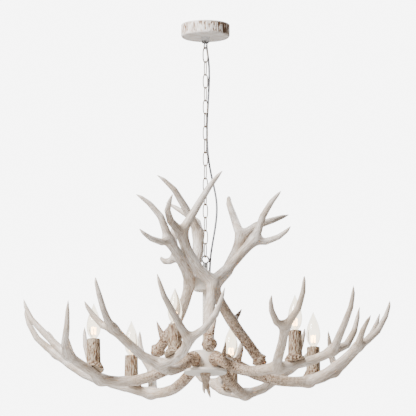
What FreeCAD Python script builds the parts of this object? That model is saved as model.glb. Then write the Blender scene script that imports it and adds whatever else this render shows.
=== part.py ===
import FreeCAD, Part
import math
import os
import Sketcher
from FreeCAD import Placement, Rotation, Vector

# Antler chandelier: a ceiling canopy, a chain of sixteen links with a cord beside it, and a nine-antler
# cluster with six candle lamps. Millimetres. +Z is up, +X is right as the lamp is seen from the front, and
# the origin is the middle of the ceiling face.

DRIVING_SIZES = [
    # Ceiling parts
    ("canopy_diameter", 120, "ceiling canopy, outside"),
    ("canopy_height", 32, "ceiling face to canopy floor, outside"),
    ("canopy_wall", 3, "canopy wall and floor"),
    ("canopy_edge", 6, "round of the canopy's lower edge"),
    ("strap_end_gap", 5, "ceiling strap's end to the canopy's wall"),
    ("strap_width", 18, ""),
    ("strap_thickness", 2, ""),
    ("ceiling_screw_inset", 7.55, "ceiling screw's middle from the strap's end"),
    ("ceiling_screw_hole", 4.8, ""),
    ("nipple_diameter", 10, "threaded tube that carries the lamp"),
    ("nipple_bore", 7, ""),
    ("nut_flats", 14, "hex nuts, across flats"),
    ("nut_thickness", 4, ""),
    ("terminal_length", 24, "terminal block under the strap"),
    ("terminal_width", 12, ""),
    ("terminal_height", 10, ""),
    ("terminal_offset", 26, "terminal block from the middle"),
    ("running_gap", 0.3, "play between pieces that slide or turn on each other"),
    # Canopy loop
    ("neck_diameter", 18, "threaded neck of the canopy loop"),
    ("neck_above_floor", 5, "neck showing inside the canopy"),
    ("collar_diameter", 22.5, "collar ring that holds the canopy up"),
    ("collar_height", 8.7, ""),
    ("neck_below_collar", 4.8, ""),
    ("nipple_bite", 10, "nipple's length inside the neck"),
    ("eye_height", 18, "canopy loop's eye, outside"),
    ("eye_wire", 3.5, ""),
    # Chain
    ("chain_turn", 25, "degrees that the odd links are turned from the front view"),
    ("first_link_length", 41.8, "connector link, outside"),
    ("first_link_width", 15.7, ""),
    ("first_link_wire", 3.2, ""),
    ("link_length", 38.4, "chain link, outside"),
    ("link_width", 14.7, ""),
    ("link_wire", 2.8, ""),
    ("cord_diameter", 5, "lamp cord"),
    ("cord_seat_depth", 3, "cord end inside each of its two holes"),
    # Column
    ("hub_eye_height", 22, "loop on the upper hub, outside"),
    ("hub_eye_wire", 4, ""),
    ("hub_neck_diameter", 12, ""),
    ("hub_neck_length", 39.45, "loop's eye to the upper hub"),
    ("hub_flange_diameter", 24, ""),
    ("hub_flange_thickness", 4, ""),
    ("stud_length", 20, "threaded stud of the loop and of the finial, in the pipe"),
    ("upper_hub_diameter", 54, ""),
    ("upper_hub_height", 29, ""),
    ("upper_hub_top", 6, "thickness of its top"),
    ("upper_hub_wall", 4, ""),
    ("hub_spacing", 151, "upper hub's underside to lower hub's top"),
    ("pipe_diameter", 14, "centre pipe"),
    ("pipe_bore", 10.4, ""),
    ("pipe_nut_flats", 20, "hex nuts on the pipe, across flats"),
    ("pipe_nut_thickness", 5, ""),
    ("lid_thickness", 4, "lid that closes the upper hub"),
    ("lower_hub_diameter", 70, ""),
    ("lower_hub_height", 46, ""),
    ("lower_hub_top", 6, ""),
    ("lower_hub_wall", 5, ""),
    ("plate_diameter", 105, "bottom plate"),
    ("plate_thickness", 7, ""),
    ("plate_chamfer", 1.5, ""),
    ("pipe_short_of_plate", 3, "pipe's end above the plate's underside"),
    # Antlers in place
    ("burr_diameter", 39, "ring of the antler's burr"),
    ("burr_roll", 12, "thickness of that ring"),
    ("burr_standoff", 15, "lower hub's side to the middle of the burr"),
    ("burr_bearing", -21, "degrees from the lamp's bearing to the burr's"),
    ("root_length", 17, "antler root, from the burr to its cut end"),
    ("standing_reach", 128, "upper hub's side to a standing antler's burr"),
    ("standing_aside", -1, "standing antler's burr, to the side of its bearing"),
    ("standing_drop", 172.5, "upper hub's middle to a standing antler's burr"),
    ("standing_turn", 160.2, "degrees that a standing antler is turned from a lying one"),
    ("standing_screw_bearing", 23, "degrees from a standing antler's bearing to its screw"),
    ("screw_diameter", 4, "screws that hold the antlers to the hubs"),
    ("screw_head_diameter", 8, ""),
    ("screw_head_height", 2.6, ""),
    ("screw_bite", 18, "screw length inside the antler"),
    # Candle lamps
    ("sleeve_height", 75, "seat on the antler to the sleeve's rim"),
    ("sleeve_top_diameter", 32, ""),
    ("sleeve_waist_diameter", 35, ""),
    ("sleeve_foot_diameter", 50, "burr at the sleeve's foot"),
    ("sleeve_foot_height", 17, "height of the flare, above the seat"),
    ("sleeve_foot_rim", 5, ""),
    ("sleeve_bore", 25, ""),
    ("sleeve_floor", 16, "sleeve's floor above the seat"),
    ("seat_depth", 3, "seat cut into the top of the arm"),
    ("socket_diameter", 21, "lamp socket"),
    ("socket_recess", 1, "socket's rim below the sleeve's rim"),
    ("socket_bore", 12.8, ""),
    ("socket_bore_depth", 21, ""),
    ("socket_stud_diameter", 8, "hollow stud from socket to antler"),
    ("socket_stud_bite", 12, "stud's depth in the antler"),
    ("socket_wire_hole", 4, ""),
    ("cap_diameter", 12, "bulb's screw cap"),
    ("cap_height", 17, ""),
    ("bulb_diameter", 35, "candle bulb"),
    ("bulb_height", 88, "glass, above the socket"),
    ("bulb_glass", 1, "wall of the glass"),
    ("filament_height", 50, ""),
    ("filament_diameter", 3, ""),
    # Finial
    ("finial_shoulder", 27, "antler tip under the bottom plate"),
]

# Degrees from +X towards the viewer to each lower lamp, and to each standing antler.
LAMP_BEARINGS = [170, 228, 283, 343.5, 38, 105]
STANDING_BEARINGS = [86, 212, 322]
# The axis about which a lying antler turns to stand: outwards, sideways and up.
STANDING_AXIS = Vector(-0.5188, -0.1670, -0.8385)
# How each standing antler then leans about its fork: the axis, the degrees and the lift.
STANDING_LEANS = [(Vector(0, 0, 1), 0, 0), (Vector(-0.738, -0.461, -0.492), 16.3, 7),
                  (Vector(-0.9285, 0.3714, 0), 10.8, 0)]

# One antler casting. Each branch is a line of stations: a step outwards, sideways and up from the station
# before it, and the antler's thickness there. A branch starts on the station that it names.
ANTLER_BRANCHES = {
    "beam": ("burr", 27, [(33, -8, -14, 26.5), (40, -8, -19, 26), (44, -8, -13, 25.5), (43, -4, -3, 25),
                          (44, 2, 3, 24)]),
    "lamp_arm": ("beam", 23, [(26, 44, 10, 22.5), (35, 32, 14, 21.5), (35, 20, 19, 19.5)]),
    "outer_tine": ("lamp_arm", 18, [(19, -5, 19, 17), (34, -12, 40, 14.5), (30, -15, 36, 12),
                                    (14, -11, 30, 8.5), (5, -7, 18, 3)]),
    "inner_tine": ("lamp_arm", 16, [(19, 34, 23, 14.5), (1, 29, 37, 12), (-2, 17, 34, 8.5),
                                    (-4, 13, 25, 3)]),
    "side_arm": ("beam", 21.5, [(34, -36, 18, 20.5), (33, -28, 28, 19.5), (29, -27, 30, 18)]),
    "side_outer_tine": ("side_arm", 16.5, [(19, -11, 17, 15.5), (24, -6, 24, 13.5), (20, -5, 36, 11),
                                           (9, -2, 24, 7.5), (3, 1, 14, 3)]),
    "side_inner_tine": ("side_arm", 14, [(1, -23, 13, 13), (4, -22, 25, 11), (4, -15, 18, 8),
                                         (3, -8, 12, 3)]),
    "brow_tine": ("burr", 13, [(6, -3, 18, 11), (6, -3, 16, 7.5), (4, -2, 14, 3)]),
}
BROW_ROOT = (25, -6, -12)  # from the burr to the foot of the brow tine

# A standing antler has the same crown on a straighter beam, and the place of its brow tine differs
# from one to the next.
STANDING_BEAM = {
    "standing_beam": ("standing_burr", 27, [(-27, 0, 30, 26.5), (-28, 2, 31, 26), (-24, 4, 33, 25.5),
                                            (-22, 5, 37, 25), (-20, 4.5, 42.2, 24)]),
}
STANDING_BROWS = [
    {"first_brow": ("standing_burr", 13, [(8, 5, 17, 11), (5, 5, 16, 7.5), (2, 4, 12, 3)])},
    {"second_brow": ("standing_burr", 13, [(5, 5, 18, 11), (3, 5, 17, 7.5), (2, 5, 15, 3)])},
    {"third_brow": ("standing_burr", 14, [(11, 0, 9, 12), (11, 0, 13, 8.5), (9, -1, 14, 3)])},
]
STANDING_BROW_ROOTS = [(-22, 4, 26), (-22, 4, 26), (-72, 6, 92)]

# The finial is the tip of an antler, cut off and hung: a stem and two prongs.
FINIAL_BRANCHES = {
    "stem": ("shoulder", 27, [(0.5, 0, -8, 24), (0, -0.5, -9, 20)]),
    "short_prong": ("stem", 14, [(-3, -3, -13, 11.5), (-1, -2, -12, 7.5), (2, -1, -9, 3)]),
    "long_prong": ("stem", 14, [(4, 2, -16, 12), (4.5, 1, -15, 8), (3, 0.5, -12, 3)]),
}

# The cord hangs beside the chain. Its bends are (right, back, height), from the canopy loop to the
# upper hub.
CORD_NECK_HOLE = (3.16, 4.36)
CORD_BENDS = [
    (3.2, 4.5, -48), (3.5, 6.1, -56), (4.8, 8.1, -66), (6.6, 9.4, -79), (8.6, 10.0, -96), (9.6, 9.8, -120),
    (8.8, 9.4, -152), (6.6, 8.8, -195), (4.2, 8.8, -240), (3.6, 9.2, -290), (7.2, 9.6, -335),
    (14.2, 9.6, -375), (22.2, 8.8, -410), (27.8, 7.6, -442), (28.2, 6.8, -474), (23.8, 6.4, -510),
    (17.6, 6.8, -545), (12.6, 8.6, -578), (10.8, 10.2, -609),
]
CORD_HUB_HOLE = (10.2, 11.0)

LINK_COUNT = 16

doc = FreeCAD.newDocument("AntlerChandelier")
sheet = doc.addObject("Spreadsheet::Sheet", "Sizes")
for row, (alias, value, note) in enumerate(DRIVING_SIZES, start=1):
    sheet.set(f"A{row}", note)
    sheet.set(f"B{row}", str(value))
    sheet.setAlias(f"B{row}", alias)
next_row = len(DRIVING_SIZES) + 1


def add_station_sizes(branches):
    """Puts every station's step and thickness in the sheet, under names such as beam_2_out."""
    global next_row
    for branch, (_, root_thickness, stations) in branches.items():
        cells = [(f"{branch}_root_thick", root_thickness)]
        for number, station in enumerate(stations, start=1):
            names = ("out", "side", "rise", "thick")
            cells += [(f"{branch}_{number}_{name}", value) for name, value in zip(names, station)]
        for alias, value in cells:
            sheet.set(f"B{next_row}", str(value))
            sheet.setAlias(f"B{next_row}", alias)
            next_row += 1


add_station_sizes(ANTLER_BRANCHES)
add_station_sizes(FINIAL_BRANCHES)
add_station_sizes(STANDING_BEAM)
for brow in STANDING_BROWS:
    add_station_sizes(brow)
for kind, bearings in (("lamp", LAMP_BEARINGS), ("standing", STANDING_BEARINGS)):
    for number, bearing in enumerate(bearings, start=1):
        sheet.set(f"B{next_row}", str(bearing))
        sheet.setAlias(f"B{next_row}", f"{kind}_bearing_{number}")
        next_row += 1
doc.recompute()

nodes = {}


def size(alias):
    """A driving size, as a plain number."""
    return float(sheet.get(alias))


def keep(obj, label):
    """Marks obj as the finished sub-part of that name."""
    obj.Label = label
    nodes[label] = obj
    return obj


def solid(kind, name, at=Vector(), turn=Rotation(), **sizes):
    """A primitive whose sizes are expressions of the sheet."""
    obj = doc.addObject(kind, name)
    for prop, expression in sizes.items():
        obj.setExpression(prop, expression)
    obj.Placement = Placement(at, turn)
    return obj


def cut(name, base, tool):
    obj = doc.addObject("Part::Cut", name)
    obj.Base = base
    obj.Tool = tool
    return obj


def fuse(name, pieces):
    obj = doc.addObject("Part::MultiFuse", name)
    obj.Shapes = pieces
    return obj


def shaped(name, shape, placement=Placement()):
    """A sub-part whose shape no primitive or sketch gives."""
    obj = doc.addObject("Part::Feature", name)
    obj.Shape = shape
    obj.Placement = placement
    return obj


def turned_body(name, profile):
    """A body turned about the Z axis from a closed outline of (radius, height) expressions."""
    body = doc.addObject("PartDesign::Body", name)
    sketch = body.newObject("Sketcher::SketchObject", name + "_outline")
    plane = next(f for f in body.Origin.OriginFeatures if f.Role == "XZ_Plane")
    sketch.AttachmentSupport = [(plane, "")]
    sketch.MapMode = "FlatFace"
    start = [(10.0 + 3.0 * (i % 2), -2.0 * i) for i in range(len(profile))]
    count = len(profile)
    for i in range(count):
        a = Vector(*start[i], 0)
        b = Vector(*start[(i + 1) % count], 0)
        sketch.addGeometry(Part.LineSegment(a, b), False)
    for i in range(count):
        sketch.addConstraint(Sketcher.Constraint("Coincident", i, 2, (i + 1) % count, 1))
    for i, (radius, height) in enumerate(profile):
        ties = (("DistanceX", start[i][0], radius), ("DistanceY", start[i][1], height))
        for kind, value, expression in ties:
            index = sketch.addConstraint(Sketcher.Constraint(kind, -1, 1, i, 1, value))
            label = f"{kind}_{i}"
            sketch.renameConstraint(index, label)
            sketch.setExpression(f"Constraints.{label}", expression)
    turned = body.newObject("PartDesign::Revolution", name + "_turned")
    turned.Profile = sketch
    turned.ReferenceAxis = (sketch, ["V_Axis"])
    turned.Angle = 360
    doc.recompute()
    return body


def compound(name, pieces):
    obj = doc.addObject("Part::Compound", name)
    obj.Links = pieces
    return obj


UP = Vector(0, 0, 1)
ABOUT_X = Vector(1, 0, 0)
ABOUT_Y = Vector(0, 1, 0)


# ---- Ceiling parts ----

def ceiling_bracket():
    strap_end = size("canopy_diameter") / 2 - size("canopy_wall") - size("strap_end_gap")
    strap = solid("Part::Box", "strap",
                  Vector(-strap_end, -size("strap_width") / 2, -size("strap_thickness")),
                  Length="Sizes.canopy_diameter - 2 * (Sizes.canopy_wall + Sizes.strap_end_gap)",
                  Width="Sizes.strap_width", Height="Sizes.strap_thickness")
    below = Vector(0, 0, -size("strap_thickness"))
    holes = [solid("Part::Cylinder", "strap_middle_hole", below,
                   Radius="Sizes.nipple_diameter / 2", Height="Sizes.strap_thickness")]
    for side in (-1, 1):
        at = below + Vector(side * (strap_end - size("ceiling_screw_inset")), 0, 0)
        holes.append(solid("Part::Cylinder", "ceiling_screw_hole", at,
                           Radius="Sizes.ceiling_screw_hole / 2", Height="Sizes.strap_thickness"))
    keep(cut("strap_drilled", strap, fuse("strap_holes", holes)), "ceiling_bracket")


def terminal_block():
    at = Vector(size("terminal_offset") - size("terminal_length") / 2, -size("terminal_width") / 2,
                -size("strap_thickness") - size("terminal_height"))
    keep(solid("Part::Box", "terminal", at, Length="Sizes.terminal_length", Width="Sizes.terminal_width",
               Height="Sizes.terminal_height"), "terminal_block")


def hex_nut(name, flats, thickness, bore, top):
    """A nut under the height top; its sizes are expressions."""
    nut = solid("Part::Prism", name, turn=Rotation(), Circumradius=f"{flats} / sqrt(3)", Height=thickness)
    hole = solid("Part::Cylinder", name + "_bore", Radius=f"{bore} / 2", Height=thickness)
    obj = cut(name + "_bored", nut, hole)
    obj.Placement = Placement(Vector(0, 0, top), Rotation(ABOUT_X, 180))
    return obj


def threaded_nipple():
    bottom = f"-(Sizes.canopy_height - Sizes.canopy_wall) + Sizes.neck_above_floor - Sizes.nipple_bite"
    keep(turned_body("nipple", [("Sizes.nipple_bore / 2", "0"), ("Sizes.nipple_diameter / 2", "0"),
                                ("Sizes.nipple_diameter / 2", bottom), ("Sizes.nipple_bore / 2", bottom)]),
         "threaded_nipple")
    keep(hex_nut("nipple_nut_blank", "Sizes.nut_flats", "Sizes.nut_thickness", "Sizes.nipple_diameter",
                 -size("strap_thickness")), "nipple_nut")


def canopy():
    hole = "Sizes.neck_diameter / 2 + Sizes.running_gap"
    outside = "Sizes.canopy_diameter / 2"
    inside = "Sizes.canopy_diameter / 2 - Sizes.canopy_wall"
    floor = "-Sizes.canopy_height"
    floor_top = "-Sizes.canopy_height + Sizes.canopy_wall"
    body = turned_body("canopy_shell", [(hole, floor), (outside, floor), (outside, "0"), (inside, "0"),
                                        (inside, floor_top), (hole, floor_top)])
    edges = []
    for number, edge in enumerate(body.Shape.Edges, start=1):
        box = edge.BoundBox
        at_floor = abs(box.ZMin + size("canopy_height")) < 0.01 and box.ZLength < 0.01
        if at_floor and abs(box.XLength - size("canopy_diameter")) < 0.5:
            edges.append(f"Edge{number}")
    turned = body.Tip
    rounded = body.newObject("PartDesign::Fillet", "canopy_edge_round")
    rounded.Base = (turned, edges)
    rounded.setExpression("Radius", "Sizes.canopy_edge")
    body.Tip = rounded
    keep(body, "canopy")


def canopy_collar():
    inside = "Sizes.neck_diameter / 2 + Sizes.running_gap"
    outside = "Sizes.collar_diameter / 2"
    top = "-Sizes.canopy_height"
    bottom = "-Sizes.canopy_height - Sizes.collar_height"
    keep(turned_body("collar", [(inside, top), (outside, top), (outside, bottom), (inside, bottom)]),
         "canopy_collar")


neck_top = -(size("canopy_height") - size("canopy_wall")) + size("neck_above_floor")
neck_bottom = -size("canopy_height") - size("collar_height") - size("neck_below_collar")
eye_radius = (size("eye_height") - size("eye_wire")) / 2
first_joint = neck_bottom - 2 * eye_radius


def canopy_loop():
    neck = solid("Part::Cylinder", "loop_neck", Vector(0, 0, neck_bottom), Radius="Sizes.neck_diameter / 2")
    neck.Height = neck_top - neck_bottom
    eye = solid("Part::Torus", "loop_eye", Vector(0, 0, neck_bottom - eye_radius),
                Rotation(UP, size("chain_turn") + 90) * Rotation(ABOUT_X, 90),
                Radius1="(Sizes.eye_height - Sizes.eye_wire) / 2", Radius2="Sizes.eye_wire / 2")
    thread_depth = size("nipple_bite") + size("running_gap")
    thread = solid("Part::Cylinder", "loop_thread", Vector(0, 0, neck_top - thread_depth),
                   Radius="Sizes.nipple_diameter / 2")
    thread.Height = thread_depth
    cord_hole = solid("Part::Cylinder", "loop_cord_hole", Vector(*CORD_NECK_HOLE, neck_bottom),
                      Radius="Sizes.cord_diameter / 2 + Sizes.running_gap")
    cord_hole.Height = neck_top - thread_depth / 2 - neck_bottom
    keep(cut("loop_bored", fuse("loop_blank", [neck, eye]), fuse("loop_holes", [thread, cord_hole])),
         "canopy_loop")


# ---- Chain ----

def chain_link(number, kind, top):
    """A welded link, its upper bend's wire at the height top. kind is first_link or link."""
    wire = size(f"{kind}_wire")
    bend = (size(f"{kind}_width") - wire) / 2
    straight = size(f"{kind}_length") - wire - 2 * bend
    bend_size = {"Radius1": f"(Sizes.{kind}_width - Sizes.{kind}_wire) / 2",
                 "Radius2": f"Sizes.{kind}_wire / 2"}
    name = f"link_{number:02d}"
    pieces = []
    for end, height in ((1, 0.0), (-1, -straight)):
        half = solid("Part::Torus", f"{name}_bend", Vector(0, 0, height),
                     Rotation(ABOUT_X, 90 * end), **bend_size)
        half.Angle3 = 180
        pieces.append(half)
    for side in (-1, 1):
        leg = solid("Part::Cylinder", f"{name}_leg", Vector(side * bend, 0, -straight),
                    Radius=f"Sizes.{kind}_wire / 2",
                    Height=f"Sizes.{kind}_length - Sizes.{kind}_width")
        pieces.append(leg)
    link = fuse(name, pieces)
    quarter = 90 * ((number - 1) % 2)
    link.Placement = Placement(Vector(0, 0, top - bend), Rotation(UP, size("chain_turn") + quarter))
    return keep(link, f"chain_{name}")


chain_joints = [first_joint]
wires = [size("eye_wire")]
for number in range(1, LINK_COUNT + 1):
    kind = "first_link" if number == 1 else "link"
    wire = size(f"{kind}_wire")
    top = chain_joints[-1] + (wires[-1] + wire) / 2 + size("running_gap")
    chain_link(number, kind, top)
    chain_joints.append(top - (size(f"{kind}_length") - wire))
    wires.append(wire)

# ---- Heights of the column ----

hub_eye_radius = (size("hub_eye_height") - size("hub_eye_wire")) / 2
hub_eye_top = chain_joints[-1] + (wires[-1] + size("hub_eye_wire")) / 2 + size("running_gap")
upper_hub_top = hub_eye_top - 2 * hub_eye_radius - size("hub_neck_length")
upper_hub_bottom = upper_hub_top - size("upper_hub_height")
upper_hub_middle = (upper_hub_top + upper_hub_bottom) / 2
lower_hub_top = upper_hub_bottom - size("hub_spacing")
lower_hub_bottom = lower_hub_top - size("lower_hub_height")
lower_hub_middle = (lower_hub_top + lower_hub_bottom) / 2
plate_bottom = lower_hub_bottom - size("plate_thickness")
pipe_top = upper_hub_top - size("upper_hub_top")
pipe_bottom = plate_bottom + size("pipe_short_of_plate")


def at_height(obj, height):
    obj.Placement = Placement(Vector(0, 0, height), Rotation())
    return obj


def hub_loop():
    eye = solid("Part::Torus", "hub_eye", Vector(0, 0, hub_eye_top - hub_eye_radius),
                Rotation(UP, size("chain_turn")) * Rotation(ABOUT_X, 90),
                Radius1="(Sizes.hub_eye_height - Sizes.hub_eye_wire) / 2", Radius2="Sizes.hub_eye_wire / 2")
    neck = solid("Part::Cylinder", "hub_neck", Vector(0, 0, upper_hub_top),
                 Radius="Sizes.hub_neck_diameter / 2", Height="Sizes.hub_neck_length")
    flange = solid("Part::Cylinder", "hub_flange", Vector(0, 0, upper_hub_top),
                   Radius="Sizes.hub_flange_diameter / 2", Height="Sizes.hub_flange_thickness")
    stud = solid("Part::Cylinder", "hub_stud", Vector(0, 0, upper_hub_top - size("stud_length")),
                 Radius="Sizes.pipe_bore / 2 - Sizes.running_gap", Height="Sizes.stud_length")
    keep(fuse("hub_loop_cast", [eye, neck, flange, stud]), "hub_loop")


def radial_hole(name, bearing, height, inner, outer, diameter):
    """A round tool or shank that runs outwards at that bearing, in degrees from +X."""
    turn = Rotation(UP, bearing) * Rotation(ABOUT_Y, 90)
    at = Rotation(UP, bearing).multVec(Vector(inner, 0, 0)) + Vector(0, 0, height)
    obj = solid("Part::Cylinder", name, at, turn, Radius=f"{diameter} / 2")
    obj.Height = outer - inner
    return obj


lamp_turns = [-size(f"lamp_bearing_{number}") for number in range(1, len(LAMP_BEARINGS) + 1)]
standing_turns = [-size(f"standing_bearing_{number}")
                  for number in range(1, len(STANDING_BEARINGS) + 1)]
lower_screws = [(turn + size("burr_bearing"), lower_hub_middle) for turn in lamp_turns]
upper_screws = [(turn + size("standing_screw_bearing"), upper_hub_middle) for turn in standing_turns]


def hub(name, diameter, wall, top_thickness, height, bore, top, screws, extra):
    """A turned cup, open below, drilled for its antler screws. The sizes are expressions, except top."""
    outside = f"{diameter} / 2"
    inside = f"{diameter} / 2 - {wall}"
    cup = turned_body(name + "_cup", [
        (bore, "0"), (outside, "0"), (outside, f"-{height}"), (inside, f"-{height}"),
        (inside, f"-{top_thickness}"), (bore, f"-{top_thickness}")])
    at_height(cup, top)
    reach = size(f"{name}_diameter") / 2 + 1
    start = size(f"{name}_diameter") / 2 - size(f"{name}_wall") - 1
    holes = [radial_hole(name + "_screw_hole", bearing, level, start, reach,
                         "(Sizes.screw_diameter + Sizes.running_gap)") for bearing, level in screws]
    keep(cut(name + "_drilled", cup, fuse(name + "_holes", holes + extra)), name)


def upper_hub():
    cord_hole = solid("Part::Cylinder", "hub_cord_hole", Vector(*CORD_HUB_HOLE, pipe_top),
                      Radius="Sizes.cord_diameter / 2 + Sizes.running_gap", Height="Sizes.upper_hub_top")
    hub("upper_hub", "Sizes.upper_hub_diameter", "Sizes.upper_hub_wall", "Sizes.upper_hub_top",
        "Sizes.upper_hub_height", "Sizes.pipe_bore / 2", upper_hub_top, upper_screws, [cord_hole])
    hole = "Sizes.pipe_diameter / 2 + Sizes.running_gap"
    rim = "Sizes.upper_hub_diameter / 2 - Sizes.upper_hub_wall - Sizes.running_gap"
    lid = turned_body("lid", [(hole, "0"), (rim, "0"), (rim, "Sizes.lid_thickness"),
                              (hole, "Sizes.lid_thickness")])
    keep(at_height(lid, upper_hub_bottom), "upper_hub_lid")


def lower_hub():
    hub("lower_hub", "Sizes.lower_hub_diameter", "Sizes.lower_hub_wall", "Sizes.lower_hub_top",
        "Sizes.lower_hub_height", "Sizes.pipe_diameter / 2 + Sizes.running_gap", lower_hub_top,
        lower_screws, [])


def centre_pipe():
    tube = solid("Part::Cylinder", "pipe_outside", Vector(0, 0, pipe_bottom),
                 Radius="Sizes.pipe_diameter / 2")
    bore = solid("Part::Cylinder", "pipe_inside", Vector(0, 0, pipe_bottom),
                 Radius="Sizes.pipe_bore / 2")
    for piece in (tube, bore):
        piece.Height = pipe_top - pipe_bottom
    keep(cut("pipe_bored", tube, bore), "centre_pipe")
    nuts = [hex_nut(name, "Sizes.pipe_nut_flats", "Sizes.pipe_nut_thickness", "Sizes.pipe_diameter", top)
            for name, top in (("upper_pipe_nut", pipe_top),
                              ("lower_pipe_nut", lower_hub_top - size("lower_hub_top")))]
    keep(compound("pipe_nut_pair", nuts), "pipe_nuts")


def bottom_plate():
    body = doc.addObject("PartDesign::Body", "plate")
    sketch = body.newObject("Sketcher::SketchObject", "plate_outline")
    plane = next(f for f in body.Origin.OriginFeatures if f.Role == "XY_Plane")
    sketch.AttachmentSupport = [(plane, "")]
    sketch.MapMode = "FlatFace"
    circles = (("Sizes.plate_diameter / 2", 40), ("Sizes.pipe_diameter / 2 + Sizes.running_gap", 7))
    for number, (expression, start) in enumerate(circles):
        sketch.addGeometry(Part.Circle(Vector(), UP, start), False)
        sketch.addConstraint(Sketcher.Constraint("Coincident", number, 3, -1, 1))
        index = sketch.addConstraint(Sketcher.Constraint("Radius", number, start))
        sketch.renameConstraint(index, f"radius_{number}")
        sketch.setExpression(f"Constraints.radius_{number}", expression)
    pad = body.newObject("PartDesign::Pad", "plate_pad")
    pad.Profile = sketch
    pad.setExpression("Length", "Sizes.plate_thickness")
    doc.recompute()
    lower_edges = [f"Edge{number}" for number, edge in enumerate(pad.Shape.Edges, start=1)
                   if edge.BoundBox.ZLength < 0.01 and abs(edge.BoundBox.ZMin) < 0.01
                   and abs(edge.BoundBox.XLength - size("plate_diameter")) < 0.5]
    chamfer = body.newObject("PartDesign::Chamfer", "plate_edge")
    chamfer.Base = (pad, lower_edges)
    chamfer.setExpression("Size", "Sizes.plate_chamfer")
    body.Tip = chamfer
    keep(at_height(body, plate_bottom), "bottom_plate")


# ---- Antlers ----

def tapered_tube(points, thicknesses):
    """A solid skinned over circles along a smooth line through the points, and one more between each two."""
    line = Part.BSplineCurve()
    line.interpolate(points)
    at = [line.parameter(point) for point in points]
    spots = []
    for i in range(len(points) - 1):
        spots.append((at[i], thicknesses[i]))
        spots.append(((at[i] + at[i + 1]) / 2, (thicknesses[i] + thicknesses[i + 1]) / 2))
    spots.append((at[-1], thicknesses[-1]))
    across = Vector(0, 1, 0.3)
    rings = []
    for where, thickness in spots:
        along = Vector(*line.tangent(where)[0])
        across = across - along * across.dot(along)
        across.normalize()
        ring = Part.Circle(line.value(where), along, thickness / 2)
        ring.XAxis = across
        rings.append(Part.Wire(ring.toShape()))
    return Part.makeLoft(rings, True, False)


def branch_stations(branches, starts):
    """Every branch's stations as (point, thickness), the first one on the station that it grows from."""
    found = {}
    for branch, (root, _, stations) in branches.items():
        point = found[root][-1][0] if root in found else starts.get(branch, starts[root])
        line = [(point, size(f"{branch}_root_thick"))]
        for number in range(1, len(stations) + 1):
            step = Vector(*(size(f"{branch}_{number}_{name}") for name in ("out", "side", "rise")))
            point = point + step
            line.append((point, size(f"{branch}_{number}_thick")))
        found[branch] = line
    return found


def grown(stations, *names):
    """One tube through these branches, each of which starts at the end of the one before it."""
    line = list(stations[names[0]])
    for name in names[1:]:
        line += stations[name][1:]
    return tapered_tube([point for point, _ in line], [thickness for _, thickness in line])


burr_reach = size("lower_hub_diameter") / 2 + size("burr_standoff")
to_hub = Rotation(UP, size("burr_bearing")).multVec(Vector(-1, 0, 0))
antler_stations = branch_stations(ANTLER_BRANCHES, {"burr": Vector(), "brow_tine": Vector(*BROW_ROOT)})
root_end = to_hub * size("root_length")
antler_stations["root"] = [(root_end, size("beam_root_thick") - 1), (Vector(), size("beam_root_thick"))]


CROWN = ("lamp_arm", "outer_tine", "side_arm", "side_outer_tine", "inner_tine", "side_inner_tine")


def antler_casting(stations, beam, brow):
    """One antler: a trunk from the root to the outer tine's tip, its side limbs, and the burr as a ring."""
    trunk = grown(stations, "root", beam, "lamp_arm", "outer_tine")
    limbs = [grown(stations, "side_arm", "side_outer_tine"), grown(stations, "inner_tine"),
             grown(stations, "side_inner_tine"), grown(stations, brow)]
    ring_middle = (size("burr_diameter") - size("burr_roll")) / 2
    burr = stations[beam][0][0]
    limbs.append(Part.makeTorus(ring_middle, size("burr_roll") / 2, burr, stations[beam][1][0] - burr))
    return trunk.fuse(limbs)


casting = antler_casting(antler_stations, "beam", "brow_tine")
burr_place = Placement(to_hub * -burr_reach + Vector(0, 0, lower_hub_middle), Rotation())

# The seat is a flat across the top of the lamp arm, square to the arm.
seat_station = antler_stations["lamp_arm"][1]
along_arm = (antler_stations["lamp_arm"][2][0] - antler_stations["beam"][-1][0]).normalize()
seat_normal = (UP - along_arm * UP.dot(along_arm)).normalize()
seat_middle = burr_place.multVec(seat_station[0]) + seat_normal * (seat_station[1] / 2 - size("seat_depth"))


def screw_tool(hub_name, outwards, height):
    """The hole that an antler's screw fills, from inside the hub's wall."""
    start = size(f"{hub_name}_diameter") / 2 - size(f"{hub_name}_wall")
    at = outwards * start + Vector(0, 0, height)
    length = size(f"{hub_name}_wall") + size("screw_bite")
    return Part.makeCylinder(size("screw_diameter") / 2, length, at, outwards)


def lower_antlers():
    antler = casting.copy()
    antler.Placement = burr_place
    foot_radius = size("sleeve_foot_diameter") / 2
    hub_side = Part.makeCylinder(size("lower_hub_diameter") / 2, 2 * size("lower_hub_height"),
                                 Vector(0, 0, lower_hub_middle - size("lower_hub_height")))
    seat_tool = Part.makeCylinder(foot_radius + size("seat_depth"), size("sleeve_foot_height"), seat_middle,
                                  seat_normal)
    stud_hole = Part.makeCylinder(size("socket_stud_diameter") / 2 + size("running_gap"),
                                  size("socket_stud_bite") + foot_radius,
                                  seat_middle - UP * (size("socket_stud_bite") + size("running_gap")))
    screw_hole = screw_tool("lower_hub", to_hub * -1, lower_hub_middle)
    antler = antler.cut([hub_side, seat_tool, stud_hole, screw_hole])
    for number, turn in enumerate(lamp_turns, start=1):
        keep(shaped(f"lower_antler_cast_{number}", antler, Placement(Vector(), Rotation(UP, turn))),
             f"lower_antler_{number}")


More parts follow.
